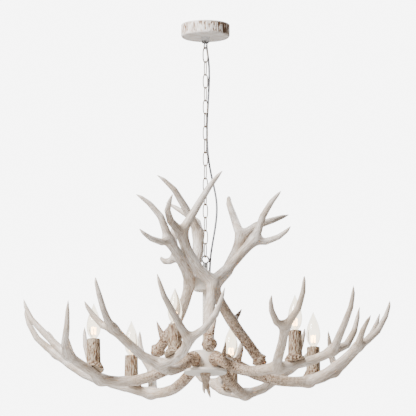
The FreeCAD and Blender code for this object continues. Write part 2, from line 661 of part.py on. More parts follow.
def standing_antlers():
    burr = Vector(size("upper_hub_diameter") / 2 + size("standing_reach"), size("standing_aside"),
                  upper_hub_middle - size("standing_drop"))
    upright = Rotation(STANDING_AXIS, size("standing_turn"))
    outwards = Rotation(UP, size("standing_screw_bearing")).multVec(Vector(1, 0, 0))
    hub_side = Part.makeCylinder(size("upper_hub_diameter") / 2, size("upper_hub_height"),
                                 Vector(0, 0, upper_hub_bottom))
    hub_side = hub_side.fuse(screw_tool("upper_hub", outwards, upper_hub_middle))
    for number, (axis, lean, lift) in enumerate(STANDING_LEANS, start=1):
        stations = branch_stations(STANDING_BEAM, {"standing_burr": burr})
        fork = stations["standing_beam"][-1][0]
        lying_fork = antler_stations["beam"][-1][0]
        for branch in CROWN:
            stations[branch] = [(fork + upright.multVec(point - lying_fork), thick)
                                for point, thick in antler_stations[branch]]
        brow, = STANDING_BROWS[number - 1]
        stations.update(branch_stations(STANDING_BROWS[number - 1],
                                        {"standing_burr": burr + Vector(*STANDING_BROW_ROOTS[number - 1])}))
        thick = size("standing_beam_root_thick")
        root = burr + (burr - stations["standing_beam"][1][0]).normalize() * size("root_length")
        stations["root"] = [(root, thick - 1), (burr, thick)]
        turn = Rotation(axis, lean)
        for branch, line in stations.items():
            stations[branch] = [(fork + turn.multVec(point - fork) + UP * lift, thick)
                                for point, thick in line]
        antler = antler_casting(stations, "standing_beam", brow).cut(hub_side)
        bearing = Placement(Vector(), Rotation(UP, standing_turns[number - 1]))
        keep(shaped(f"standing_antler_cast_{number}", antler, bearing), f"standing_antler_{number}")


def antler_screws():
    """Each screw comes from inside a hub, the rim of its head on the hub's curved inner wall."""
    screws = []
    for hub_name, places in (("lower_hub", lower_screws), ("upper_hub", upper_screws)):
        wall_inside = size(f"{hub_name}_diameter") / 2 - size(f"{hub_name}_wall")
        inner = math.sqrt(wall_inside ** 2 - (size("screw_head_diameter") / 2) ** 2)
        tip = size(f"{hub_name}_diameter") / 2 + size("screw_bite")
        for bearing, height in places:
            shank = radial_hole("screw_shank", bearing, height, inner, tip, "Sizes.screw_diameter")
            head = radial_hole("screw_head", bearing, height, inner - size("screw_head_height"), inner,
                               "Sizes.screw_head_diameter")
            screws.append(fuse("antler_screw", [shank, head]))
    keep(compound("screw_set", screws), "antler_screws")


def finial():
    shoulder = Vector(0, 0, plate_bottom)
    stations = branch_stations(FINIAL_BRANCHES, {"shoulder": shoulder})
    thick = size("stem_root_thick")
    stations["top"] = [(shoulder + UP * (thick / 4), thick), (shoulder, thick)]
    trim = Part.makeCylinder(thick, thick, shoulder)
    horn = grown(stations, "top", "stem", "short_prong").fuse([grown(stations, "long_prong")]).cut(trim)
    stud_radius = size("pipe_bore") / 2 - size("running_gap")
    horn = horn.fuse(Part.makeCylinder(stud_radius, size("stud_length"), shoulder))
    keep(shaped("finial_cast", horn), "finial")


# ---- Candle lamps ----

def on_antler(turn, height):
    """A place on a lamp's upright axis, height above the middle of its seat."""
    middle = Rotation(UP, turn).multVec(seat_middle)
    return Placement(middle + Vector(0, 0, height), Rotation(UP, turn))


seat_turn = Rotation(UP, seat_normal)
socket_rim = size("sleeve_height") - size("socket_recess")


def candle_sleeve(number, turn):
    bore = "Sizes.sleeve_bore / 2"
    stud = "Sizes.socket_stud_diameter / 2 + Sizes.running_gap"
    foot = "Sizes.sleeve_foot_diameter / 2"
    below = "-Sizes.sleeve_foot_diameter / 3"
    blank = turned_body(f"sleeve_{number}_blank", [
        (bore, "Sizes.sleeve_height"), ("Sizes.sleeve_top_diameter / 2", "Sizes.sleeve_height"),
        ("Sizes.sleeve_waist_diameter / 2", "Sizes.sleeve_foot_height"), (foot, "Sizes.sleeve_foot_rim"),
        (foot, below), (stud, below), (stud, "Sizes.sleeve_floor"), (bore, "Sizes.sleeve_floor")])
    width = 2 * size("sleeve_foot_diameter")
    trim = solid("Part::Box", f"sleeve_{number}_trim",
                 seat_turn.multVec(Vector(-width / 2, -width / 2, -width)), seat_turn)
    trim.Length = trim.Width = trim.Height = width
    sleeve = cut(f"sleeve_{number}", blank, trim)
    sleeve.Placement = on_antler(turn, 0)
    keep(sleeve, f"candle_sleeve_{number}")


def lamp_socket(number, turn):
    bore = "Sizes.socket_bore / 2"
    outside = "Sizes.socket_diameter / 2"
    stud = "Sizes.socket_stud_diameter / 2"
    wires = "Sizes.socket_wire_hole / 2"
    foot = "-(Sizes.sleeve_height - Sizes.socket_recess - Sizes.sleeve_floor)"
    stud_end = "-(Sizes.sleeve_height - Sizes.socket_recess + Sizes.socket_stud_bite)"
    well = "-Sizes.socket_bore_depth"
    socket = turned_body(f"socket_{number}", [
        (bore, "0"), (outside, "0"), (outside, foot), (stud, foot),
        (stud, stud_end), (wires, stud_end), (wires, well), (bore, well)])
    socket.Placement = on_antler(turn, socket_rim)
    keep(socket, f"lamp_socket_{number}")


def candle_glass():
    """The flame-shaped envelope, open at its neck. Its outline is in shares of the radius and the height."""
    outline = [(0.36, 0), (0.47, 0.035), (0.78, 0.14), (1, 0.33), (0.87, 0.55), (0.52, 0.76), (0.2, 0.91),
               (0.055, 0.985)]
    radius = size("bulb_diameter") / 2
    height = size("bulb_height")
    wall = size("bulb_glass")

    def envelope(inset):
        points = [Vector(share * radius - inset, 0, level * (height - 2 * inset))
                  for share, level in outline]
        side = Part.BSplineCurve()
        side.interpolate([point for point in points if point.x > 0])
        top = side.EndPoint
        corners = [top, Vector(0, 0, top.z), Vector(), side.StartPoint]
        edges = [side.toShape()] + [Part.makeLine(a, b) for a, b in zip(corners, corners[1:])]
        return Part.Face(Part.Wire(edges)).revolve(Vector(), UP, 360)

    return envelope(0).cut(envelope(wall))


glass_shape = candle_glass()


def candle_bulb(number, turn):
    glass = shaped(f"bulb_{number}_glass", glass_shape)
    cap = solid("Part::Cylinder", f"bulb_{number}_cap", Vector(0, 0, -size("cap_height")),
                Radius="Sizes.cap_diameter / 2", Height="Sizes.cap_height")
    filament = solid("Part::Cylinder", f"bulb_{number}_filament", Radius="Sizes.filament_diameter / 2",
                     Height="Sizes.filament_height")
    bulb = compound(f"bulb_{number}", [glass, cap, filament])
    bulb.Placement = on_antler(turn, socket_rim + size("running_gap"))
    keep(bulb, f"candle_bulb_{number}")


# ---- Cord ----

def cord_tube(points, diameter):
    """Straight runs joined by arcs, each as large as its runs allow. Gives the tube and the arcs' radii."""
    share = 0.45
    edges = []
    radii = []
    start = points[0]
    for before, corner, after in zip(points, points[1:], points[2:]):
        back = before - corner
        ahead = after - corner
        turn = math.pi - back.getAngle(ahead)
        reach = share * min(back.Length, ahead.Length)
        radii.append(reach / math.tan(turn / 2))
        enter = corner + back.normalize() * reach
        leave = corner + ahead.normalize() * reach
        bisector = (back + ahead).normalize()
        middle = corner + bisector * (radii[-1] / math.cos(turn / 2) - radii[-1])
        edges.append(Part.makeLine(start, enter))
        edges.append(Part.Arc(enter, middle, leave).toShape())
        start = leave
    edges.append(Part.makeLine(start, points[-1]))
    path = Part.Wire(edges)
    ring = Part.Wire(Part.makeCircle(diameter / 2, points[0], points[1] - points[0]))
    return path.makePipeShell([ring], True, False), path.Length, radii


def power_cord():
    seat = size("cord_seat_depth")
    points = [Vector(*CORD_NECK_HOLE, neck_bottom + seat)]
    points += [Vector(*bend) for bend in CORD_BENDS]
    points.append(Vector(*CORD_HUB_HOLE, upper_hub_top - seat))
    tube, length, radii = cord_tube(points, size("cord_diameter"))
    keep(shaped("cord_tube", tube), "power_cord")
    section = math.pi * size("cord_diameter") ** 2 / 4
    print(f"cord {length:.1f} mm, least radius {min(radii):.1f} mm, "
          f"volume over section times length {tube.Volume / (section * length):.4f}")


ceiling_bracket()
terminal_block()
threaded_nipple()
canopy()
canopy_collar()
canopy_loop()
power_cord()
hub_loop()
upper_hub()
centre_pipe()
lower_hub()
bottom_plate()
lower_antlers()
standing_antlers()
antler_screws()
finial()
for number, turn in enumerate(lamp_turns, start=1):
    candle_sleeve(number, turn)
    lamp_socket(number, turn)
    candle_bulb(number, turn)

doc.recompute()
for obj in doc.Objects:
    if "Invalid" in obj.State or "Error" in obj.State:
        raise RuntimeError(f"{obj.Label} failed: {obj.State}")
for label, obj in nodes.items():
    if obj.Shape.isNull() or not obj.Shape.isValid() or not obj.Shape.Solids:
        raise RuntimeError(f"{label} has no valid solid")

os.makedirs("parts", exist_ok=True)
for label, obj in nodes.items():
    obj.Shape.exportStep(f"parts/{label}.step")
print(f"{len(nodes)} sub-parts, {sum(len(obj.Shape.Solids) for obj in nodes.values())} solids")
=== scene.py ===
import math

import bmesh
import bpy
import numpy as np
from mathutils import Matrix, Vector, noise


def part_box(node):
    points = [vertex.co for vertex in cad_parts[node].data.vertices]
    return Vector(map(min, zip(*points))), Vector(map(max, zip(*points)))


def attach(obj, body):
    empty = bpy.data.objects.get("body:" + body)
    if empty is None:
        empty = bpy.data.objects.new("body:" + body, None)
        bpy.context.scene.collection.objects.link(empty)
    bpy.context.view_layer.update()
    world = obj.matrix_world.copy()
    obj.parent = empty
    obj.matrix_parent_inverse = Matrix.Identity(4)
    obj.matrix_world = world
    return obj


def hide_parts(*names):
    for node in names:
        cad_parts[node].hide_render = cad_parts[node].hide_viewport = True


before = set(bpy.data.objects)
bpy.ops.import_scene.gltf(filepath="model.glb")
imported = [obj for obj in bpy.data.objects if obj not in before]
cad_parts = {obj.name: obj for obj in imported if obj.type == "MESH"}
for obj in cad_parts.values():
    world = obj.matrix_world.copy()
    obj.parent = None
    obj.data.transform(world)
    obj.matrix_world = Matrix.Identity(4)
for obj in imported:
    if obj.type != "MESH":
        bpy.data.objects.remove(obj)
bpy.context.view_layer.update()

# ---- Camera, floor and light ----
# A long lens stands in front of the lamp and a little below it, and looks up at the antlers. The lamp hangs
# over a round pale floor before a white backdrop, in soft warm light with one broad key from the left.

camera_distance = 14.0
camera_elevation = math.radians(-10.7)
seen_width = 1.0192  # of the picture, at the lamp's axis
sensor_width = 36
aim = Vector((0.0064, 0.0, -0.4592))

camera_data = bpy.data.cameras.new("camera")
camera_data.sensor_width = sensor_width
camera_data.lens = sensor_width * camera_distance / seen_width
camera_data.clip_start = 0.1
camera_data.clip_end = 100
camera = bpy.data.objects.new("camera", camera_data)
bpy.context.scene.collection.objects.link(camera)
away = Vector((0, -math.cos(camera_elevation), math.sin(camera_elevation)))
camera.location = aim + away * camera_distance
camera.rotation_mode = "QUATERNION"
camera.rotation_quaternion = (-away).to_track_quat("-Z", "Y")
bpy.context.scene.camera = camera


def paint(red, green, blue):
    """A screen colour from 0 to 255 as the shader's linear colour."""
    levels = [level / 255 for level in (red, green, blue)]
    return tuple(v / 12.92 if v < 0.04045 else ((v + 0.055) / 1.055) ** 2.4 for v in levels) + (1.0,)


class Finish:
    """A material in the making: its node tree, with short ways to add the nodes that the finishes share."""

    def __init__(self, name, roughness):
        self.material = bpy.data.materials.new(name)
        self.material.use_nodes = True
        self.tree = self.material.node_tree
        self.surface = next(n for n in self.tree.nodes if n.type == "BSDF_PRINCIPLED")
        self.surface.inputs["Roughness"].default_value = roughness
        self.place = self.add("ShaderNodeTexCoord").outputs["Object"]

    def add(self, kind, **settings):
        """A new node of this kind, with these settings."""
        node = self.tree.nodes.new(kind)
        for name, value in settings.items():
            setattr(node, name, value)
        return node

    def join(self, source, target):
        self.tree.links.new(source, target)

    def grain(self, scale, detail=3.0, roughness=0.55, place=None):
        """Noise of about scale lumps to the metre, from 0 to 1."""
        node = self.add("ShaderNodeTexNoise")
        node.inputs["Scale"].default_value = scale
        node.inputs["Detail"].default_value = detail
        node.inputs["Roughness"].default_value = roughness
        self.join(place or self.place, node.inputs["Vector"])
        return node.outputs["Fac"]

    def stored(self, name):
        """A value that the mesh carries on its points."""
        return self.add("ShaderNodeAttribute", attribute_name=name).outputs["Fac"]

    def step(self, value, low, high, start=0.0, end=1.0):
        """A rise from start to end, as the value goes from low to high."""
        node = self.add("ShaderNodeMapRange")
        for name, number in (("From Min", low), ("From Max", high), ("To Min", start), ("To Max", end)):
            node.inputs[name].default_value = number
        self.join(value, node.inputs["Value"])
        return node.outputs["Result"]

    def times(self, one, other):
        """The product of two sockets, or of a socket and a number."""
        node = self.add("ShaderNodeMath", operation="MULTIPLY")
        for socket, value in zip(node.inputs, (one, other)):
            if isinstance(value, (int, float)):
                socket.default_value = value
            else:
                self.join(value, socket)
        return node.outputs[0]

    def blended(self, under, over, amount):
        """Two colours, or sockets, mixed by amount."""
        node = self.add("ShaderNodeMix", data_type="RGBA")
        for name, value in (("A", under), ("B", over)):
            socket = next(s for s in node.inputs if s.name == name and s.type == "RGBA")
            if isinstance(value, tuple):
                socket.default_value = value
            else:
                self.join(value, socket)
        factor = next(s for s in node.inputs if s.name == "Factor" and s.type == "VALUE")
        self.join(amount, factor)
        return next(s for s in node.outputs if s.type == "RGBA")

    def coloured(self, colour):
        """Gives the surface a colour, or a socket's colour."""
        if isinstance(colour, tuple):
            self.surface.inputs["Base Color"].default_value = colour
        else:
            self.join(colour, self.surface.inputs["Base Color"])

    def relief(self, height, depth, strength):
        """Roughens the surface by a height from 0 to 1; depth is its full height, in metres."""
        node = self.add("ShaderNodeBump")
        node.inputs["Strength"].default_value = strength
        node.inputs["Distance"].default_value = depth
        self.join(height, node.inputs["Height"])
        self.join(node.outputs["Normal"], self.surface.inputs["Normal"])


floor_radius = 2.4
floor_level = -1.75
floor_sides = 96
floor_glow = 4.5  # seen by the camera only, so that the floor is as pale as the backdrop

floor_finish = Finish("pale_floor", 0.9)
floor_clouds = floor_finish.grain(3.0)
floor_finish.coloured(floor_finish.blended(paint(236, 236, 235), paint(228, 228, 227), floor_clouds))
floor_seen = floor_finish.add("ShaderNodeLightPath").outputs["Is Camera Ray"]
floor_surface = floor_finish.surface
floor_surface.inputs["Emission Color"].default_value = (1, 1, 1, 1)
floor_finish.join(floor_finish.times(floor_seen, floor_glow), floor_surface.inputs["Emission Strength"])
floor_angles = [math.tau * i / floor_sides for i in range(floor_sides)]
floor_rim = [(floor_radius * math.cos(a), floor_radius * math.sin(a), floor_level) for a in floor_angles]
floor_mesh = bpy.data.meshes.new("floor")
floor_mesh.from_pydata(floor_rim, [], [list(range(floor_sides))])
floor_mesh.materials.append(floor_finish.material)
floor = bpy.data.objects.new("floor", floor_mesh)
bpy.context.scene.collection.objects.link(floor)

backdrop_strength = 7.2  # what the camera sees behind the lamp
room_strength = 0.14  # what lights the lamp from all sides
glass_share = 0.6  # of the backdrop's strength, seen through the bulbs

world = bpy.data.worlds.new("studio")
world.use_nodes = True
bpy.context.scene.world = world
studio = world.node_tree
backdrop = studio.nodes["Background"]
backdrop.inputs["Color"].default_value = (1, 1, 1, 1)
backdrop.inputs["Strength"].default_value = backdrop_strength
room_light = studio.nodes.new("ShaderNodeBackground")
room_light.inputs["Color"].default_value = (1.0, 0.94, 0.88, 1)
room_light.inputs["Strength"].default_value = room_strength
seen = studio.nodes.new("ShaderNodeLightPath")
through_glass = studio.nodes.new("ShaderNodeMath")
through_glass.operation = "MULTIPLY"
through_glass.inputs[1].default_value = glass_share
straight_or_through = studio.nodes.new("ShaderNodeMath")
straight_or_through.operation = "MAXIMUM"
chosen = studio.nodes.new("ShaderNodeMixShader")
for source, target in (
        (seen.outputs["Is Transmission Ray"], through_glass.inputs[0]),
        (seen.outputs["Is Camera Ray"], straight_or_through.inputs[0]),
        (through_glass.outputs[0], straight_or_through.inputs[1]),
        (straight_or_through.outputs[0], chosen.inputs[0]),
        (room_light.outputs[0], chosen.inputs[1]),
        (backdrop.outputs[0], chosen.inputs[2]),
        (chosen.outputs[0], studio.nodes["World Output"].inputs["Surface"])):
    studio.links.new(source, target)

# each light's name, place, watts and width
lights = (
    ("key", (-2.1, -2.0, 1.5), 400, 1.2),
    ("fill", (2.4, -2.8, -0.5), 9, 2.0),
    ("rim", (1.4, 2.2, 1.5), 75, 1.4),
)
lit_place = Vector((0, 0, -0.7))
for name, place, watts, width in lights:
    light_data = bpy.data.lights.new(name, "AREA")
    light_data.energy = watts
    light_data.size = width
    light = bpy.data.objects.new(name, light_data)
    light.location = place
    light.rotation_mode = "QUATERNION"
    light.rotation_quaternion = (lit_place - Vector(place)).to_track_quat("-Z", "Y")
    bpy.context.scene.collection.objects.link(light)

# ---- Power cord ----
# A round silver-grey plastic cord, 5 mm thick. It leaves the canopy loop's neck, hangs slack beside the
# chain, and goes into the upper hub.

# the points of the cord's curve, in millimetres
cord_route = [
    (3.16, 4.36, -42.5), (3.2, 4.5, -48), (3.5, 6.1, -56), (4.8, 8.1, -66), (6.6, 9.4, -79),
    (8.6, 10.0, -96), (9.6, 9.8, -120), (8.8, 9.4, -152), (6.6, 8.8, -195), (4.2, 8.8, -240),
    (3.6, 9.2, -290), (7.2, 9.6, -335), (14.2, 9.6, -375), (22.2, 8.8, -410), (27.8, 7.6, -442),
    (28.2, 6.8, -474), (23.8, 6.4, -510), (17.6, 6.8, -545), (12.6, 8.6, -578), (10.8, 10.2, -609),
    (10.2, 11.0, -639),
]
cord_thickness = 0.005

cord_finish = Finish("silver_grey_cord", 0.38)
cord_finish.coloured(cord_finish.blended(paint(132, 133, 135), paint(116, 117, 120), cord_finish.grain(60.0)))
cord_finish.relief(cord_finish.grain(900.0, 2.0), 0.0002, 0.4)

cord_curve = bpy.data.curves.new("power_cord", "CURVE")
cord_curve.dimensions = "3D"
run = cord_curve.splines.new("NURBS")
run.points.add(len(cord_route) - 1)
for point, spot in zip(run.points, cord_route):
    point.co = (*(value / 1000 for value in spot), 1.0)
run.order_u = 3
run.use_endpoint_u = True
run.resolution_u = 10
cord_curve.bevel_depth = cord_thickness / 2
cord_curve.bevel_resolution = 5
cord_curve.use_fill_caps = True
cord_curve.materials.append(cord_finish.material)
cord_piece = bpy.data.objects.new("cord_run", cord_curve)
bpy.context.scene.collection.objects.link(cord_piece)
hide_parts("power_cord")
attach(cord_piece, "ceiling")

# ---- Ceiling bracket, nipple, nut and terminal block ----
# Inside the canopy: a zinc-plated strap screwed to the ceiling, the threaded tube that carries the lamp, its
# nut, and a white nylon block for the wires.

zinc = Finish("zinc_plate", 0.35)
zinc.surface.inputs["Metallic"].default_value = 1.0
zinc.coloured(zinc.blended(paint(196, 198, 200), paint(170, 172, 172), zinc.grain(140.0)))
zinc.relief(zinc.grain(700.0), 0.0002, 0.3)
nylon = Finish("white_nylon", 0.45)
nylon.coloured(nylon.blended(paint(236, 235, 230), paint(222, 220, 214), nylon.grain(80.0)))


def finished(node, finish):
    """Puts a finish on the CAD piece, whose shape is right as it is."""
    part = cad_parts[node]
    if part.material_slots:
        part.material_slots[0].material = finish.material
    else:
        part.data.materials.append(finish.material)


for hidden in ("ceiling_bracket", "threaded_nipple", "nipple_nut", "pipe_nuts", "antler_screws"):
    finished(hidden, zinc)
finished("terminal_block", nylon)

# ---- Canopy ----
# A pressed steel cup, painted off-white. Its side is cast over with a bark-like crust, whitewashed, with
# brown left in the upright cracks, and its underside is smooth.


def fine_copy(node, name, voxel):
    """A closed, evenly meshed copy of a CAD piece, ready to be worked in detail."""
    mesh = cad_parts[node].data.copy()
    worked = bmesh.new()
    worked.from_mesh(mesh)
    worked.transform(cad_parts[node].matrix_world)
    bmesh.ops.remove_doubles(worked, verts=worked.verts, dist=1e-6)
    worked.to_mesh(mesh)
    worked.free()
    mesh.materials.clear()
    piece = bpy.data.objects.new(name, mesh)
    bpy.context.scene.collection.objects.link(piece)
    even = piece.modifiers.new("even", "REMESH")
    even.mode = "VOXEL"
    even.voxel_size = voxel
    even.adaptivity = 0
    graph = bpy.context.evaluated_depsgraph_get()
    dense = bpy.data.meshes.new_from_object(piece.evaluated_get(graph))
    piece.modifiers.clear()
    piece.data = dense
    dense.name = name
    dense.shade_smooth()
    return piece


def points_of(piece):
    spots = np.empty(len(piece.data.vertices) * 3, np.float32)
    piece.data.vertices.foreach_get("co", spots)
    return spots.reshape(-1, 3).astype(float)


def normals_of(piece):
    ways = np.empty(len(piece.data.vertices) * 3, np.float32)
    piece.data.vertex_normals.foreach_get("vector", ways)
    return ways.reshape(-1, 3).astype(float)


def settle(piece, spots):
    piece.data.vertices.foreach_set("co", spots.astype(np.float32).ravel())
    piece.data.update()


def carry(piece, name, values):
    """Stores a value on every point, for the material to read."""
    layer = piece.data.attributes.new(name, "FLOAT", "POINT")
    layer.data.foreach_set("value", values.astype(np.float32))


def carry_place(piece, name, places):
    """Stores a place on every point, for the material to draw its grain by."""
    layer = piece.data.attributes.new(name, "FLOAT_VECTOR", "POINT")
    layer.data.foreach_set("vector", places.astype(np.float32).ravel())


def rough(spots, scale, seed):
    """Smooth random values from -1 to 1 at each spot; scale is the size of a lump, in metres."""
    shift = Vector((seed * 17.3, seed * 5.1, seed * 9.7))
    return np.array([noise.noise(Vector(spot) / scale + shift) for spot in spots])


def relaxed(piece, rounds, keep_full=True):
    """Rounds the inside corners. With keep_full, points only move outwards, so thin ends keep their size."""
    mesh = piece.data
    pairs = np.empty(len(mesh.edges) * 2, np.int32)
    mesh.edges.foreach_get("vertices", pairs)
    first, second = pairs.reshape(-1, 2).T
    spots = points_of(piece)
    ways = normals_of(piece)
    count = np.bincount(np.concatenate([first, second]), minlength=len(spots))[:, None]
    for _ in range(rounds):
        total = np.zeros_like(spots)
        for axis in range(3):
            total[:, axis] = (np.bincount(first, spots[second, axis], len(spots))
                              + np.bincount(second, spots[first, axis], len(spots)))
        move = total / count - spots
        if keep_full:
            move = ways * np.maximum((move * ways).sum(1), 0)[:, None]
        spots = spots + move * 0.5
    settle(piece, spots)


def dressed(piece, node, body, finish):
    """The worked piece takes the CAD node's place."""
    piece.data.materials.append(finish.material)
    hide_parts(node)
    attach(piece, body)


canopy_crust = Finish("whitewashed_crust", 0.62)
crack = canopy_crust.stored("crack")
chalky = canopy_crust.step(canopy_crust.grain(70.0, 4.0), 0.4, 0.66)
wash = canopy_crust.blended(paint(246, 239, 233), paint(224, 210, 198), chalky)
soft_brown = canopy_crust.blended(wash, paint(188, 164, 144), canopy_crust.step(crack, 0.1, 0.5))
deep = canopy_crust.step(crack, 0.5, 1.0)
canopy_crust.coloured(canopy_crust.blended(soft_brown, paint(120, 90, 66), deep))
canopy_crust.relief(canopy_crust.grain(520.0, 4.0), 0.0008, 0.35)

canopy_voxel = 0.0013
canopy_side = 0.0568  # just inside the side's outer radius
canopy_radius = 0.06
crust_top = -0.001
crust_foot = -0.0305
crack_stretch = 0.22  # the cracks stand upright: their length counts for this share
crack_size = 0.0034
patch_size = 0.021
crack_depth = 0.0016
lump_size = 0.006
lump_height = 0.0005

crusted = fine_copy("canopy", "canopy_cup", canopy_voxel)
relaxed(crusted, 2, keep_full=False)
spots = points_of(crusted)
ways = normals_of(crusted)
turn = np.arctan2(spots[:, 1], spots[:, 0])
outside = (np.hypot(spots[:, 0], spots[:, 1]) > canopy_side) & ((ways[:, :2] * spots[:, :2]).sum(1) > 0)
unrolled = np.stack([np.cos(turn) * canopy_radius, np.sin(turn) * canopy_radius,
                     spots[:, 2] * crack_stretch], 1)
bark = rough(unrolled, crack_size, 1.0) + 0.6 * rough(unrolled, crack_size / 2, 2.0)
patch = rough(unrolled, patch_size, 3.0)
under_top = np.clip((crust_top - spots[:, 2]) / 0.003, 0, 1)
over_foot = np.clip((spots[:, 2] - crust_foot) / 0.004, 0, 1)
crusty = under_top * over_foot * outside
weather = 0.05 * np.cos(turn + 0.6)  # a little more brown on the right
cracks = np.clip(bark * 1.2 + patch * 0.6 + weather + 0.09, 0, 1) * crusty
lumps = rough(spots, lump_size, 4.0) * lump_height + rough(spots, 0.0025, 5.0) * 0.0003
settle(crusted, spots + ways * (lumps * crusty - cracks * crack_depth)[:, None])
carry(crusted, "crack", np.clip(cracks * 1.6, 0, 1))
dressed(crusted, "canopy", "canopy", canopy_crust)

# ---- Canopy collar and canopy loop ----
# The collar is a white-painted ring nut that turns up the neck and holds the canopy to the ceiling. The loop
# is a cast neck with an eye, in worn grey metal, screwed on the nipple, and the chain hangs in it.

white_paint = Finish("white_paint", 0.4)
white_paint.coloured(white_paint.blended(paint(244, 244, 243), paint(230, 230, 229), white_paint.grain(90.0)))
white_paint.relief(white_paint.grain(600.0), 0.0002, 0.2)
finished("canopy_collar", white_paint)

grey_metal = Finish("worn_grey_metal", 0.34)
grey_metal.surface.inputs["Metallic"].default_value = 0.75
scuffed = grey_metal.step(grey_metal.grain(260.0), 0.5, 0.7)
grey_metal.coloured(grey_metal.blended(paint(198, 198, 198), paint(118, 116, 114), scuffed))
grey_metal.relief(grey_metal.grain(500.0), 0.0003, 0.4)
finished("canopy_loop", grey_metal)

# ---- Chain ----
# Sixteen oval links of round welded wire, in dull antique paint, rubbed brown where they touch. The first is
# a longer connector link with a threaded leg. They hang in one another, each turned a quarter from the last.

chain_paint = Finish("antique_cream_chain", 0.42)
chain_paint.surface.inputs["Metallic"].default_value = 0.15
rubbed = chain_paint.stored("rubbed")
blotch = chain_paint.step(chain_paint.grain(240.0, 3.0), 0.45, 0.7)
cream = chain_paint.blended(paint(150, 139, 126), paint(104, 86, 68), blotch)
chain_paint.coloured(chain_paint.blended(cream, paint(100, 74, 50), rubbed))
chain_paint.relief(chain_paint.grain(700.0), 0.0003, 0.4)

link_segments = 56
wire_sides = 14


def link_tree():
    """A geometry tree that bends a round wire into one oval link. Its sizes are its inputs."""
    tree = bpy.data.node_groups.new("welded_link", "GeometryNodeTree")
    for name in ("Link length", "Link width", "Wire", "Roundness"):
        tree.interface.new_socket(name, in_out="INPUT", socket_type="NodeSocketFloat")
    tree.interface.new_socket("Paint", in_out="INPUT", socket_type="NodeSocketMaterial")
    tree.interface.new_socket("Link", in_out="OUTPUT", socket_type="NodeSocketGeometry")
    sizes = tree.nodes.new("NodeGroupInput")
    outline = tree.nodes.new("GeometryNodeCurvePrimitiveCircle")
    outline.inputs["Resolution"].default_value = link_segments
    outline.inputs["Radius"].default_value = 1.0
    here = tree.nodes.new("GeometryNodeInputPosition")
    parts = tree.nodes.new("ShaderNodeSeparateXYZ")
    moved = tree.nodes.new("ShaderNodeCombineXYZ")
    oval = tree.nodes.new("GeometryNodeSetPosition")
    wire = tree.nodes.new("GeometryNodeCurvePrimitiveCircle")
    wire.inputs["Resolution"].default_value = wire_sides
    swept = tree.nodes.new("GeometryNodeCurveToMesh")
    smooth = tree.nodes.new("GeometryNodeSetShadeSmooth")
    painted = tree.nodes.new("GeometryNodeSetMaterial")
    result = tree.nodes.new("NodeGroupOutput")

    def maths(operation, one, other=0.0):
        node = tree.nodes.new("ShaderNodeMath")
        node.operation = operation
        for socket, value in zip(node.inputs, (one, other)):
            if isinstance(value, (int, float)):
                socket.default_value = value
            else:
                tree.links.new(value, socket)
        return node.outputs[0]

    def squared_off(share, side):
        """A share of -1 to 1 of half the side, drawn out towards the side's ends by the roundness."""
        size = maths("POWER", maths("ABSOLUTE", share), sizes.outputs["Roundness"])
        half_side = maths("MULTIPLY", maths("SUBTRACT", side, sizes.outputs["Wire"]), 0.5)
        return maths("MULTIPLY", maths("MULTIPLY", maths("SIGN", share), size), half_side)

    tree.links.new(here.outputs[0], parts.inputs[0])
    for source, target in (
            (squared_off(parts.outputs["X"], sizes.outputs["Link width"]), moved.inputs["X"]),
            (squared_off(parts.outputs["Y"], sizes.outputs["Link length"]), moved.inputs["Y"]),
            (outline.outputs["Curve"], oval.inputs["Geometry"]),
            (moved.outputs[0], oval.inputs["Position"]),
            (maths("MULTIPLY", sizes.outputs["Wire"], 0.5), wire.inputs["Radius"]),
            (oval.outputs["Geometry"], swept.inputs["Curve"]),
            (wire.outputs["Curve"], swept.inputs["Profile Curve"]),
            (swept.outputs[0], smooth.inputs[0]),
            (smooth.outputs[0], painted.inputs["Geometry"]),
            (sizes.outputs["Paint"], painted.inputs["Material"]),
            (painted.outputs[0], result.inputs[0])):
        tree.links.new(source, target)
    return tree


def made_by(tree, name, **values):
    """A plain mesh of what the tree gives for these values."""
    holder = bpy.data.objects.new(name, bpy.data.meshes.new(name))
    bpy.context.scene.collection.objects.link(holder)
    modifier = holder.modifiers.new(name, "NODES")
    modifier.node_group = tree
    for label, value in values.items():
        wanted = label.replace("_", " ")
        socket = next(item for item in tree.interface.items_tree if item.name == wanted)
        modifier[socket.identifier] = value
    graph = bpy.context.evaluated_depsgraph_get()
    mesh = bpy.data.meshes.new_from_object(holder.evaluated_get(graph))
    holder.modifiers.clear()
    holder.data = mesh
    return holder


link_count = 16
first_link = (0.0418, 0.0157, 0.0032)  # length and width outside, and wire
other_link = (0.0384, 0.0147, 0.0028)
link_roundness = 0.8
chain_turn = math.radians(25)  # of the first link, from the front
worn_reach = 0.0045  # along a link, from its ends
thread_reach = 0.008  # along the connector's threaded leg, from its middle

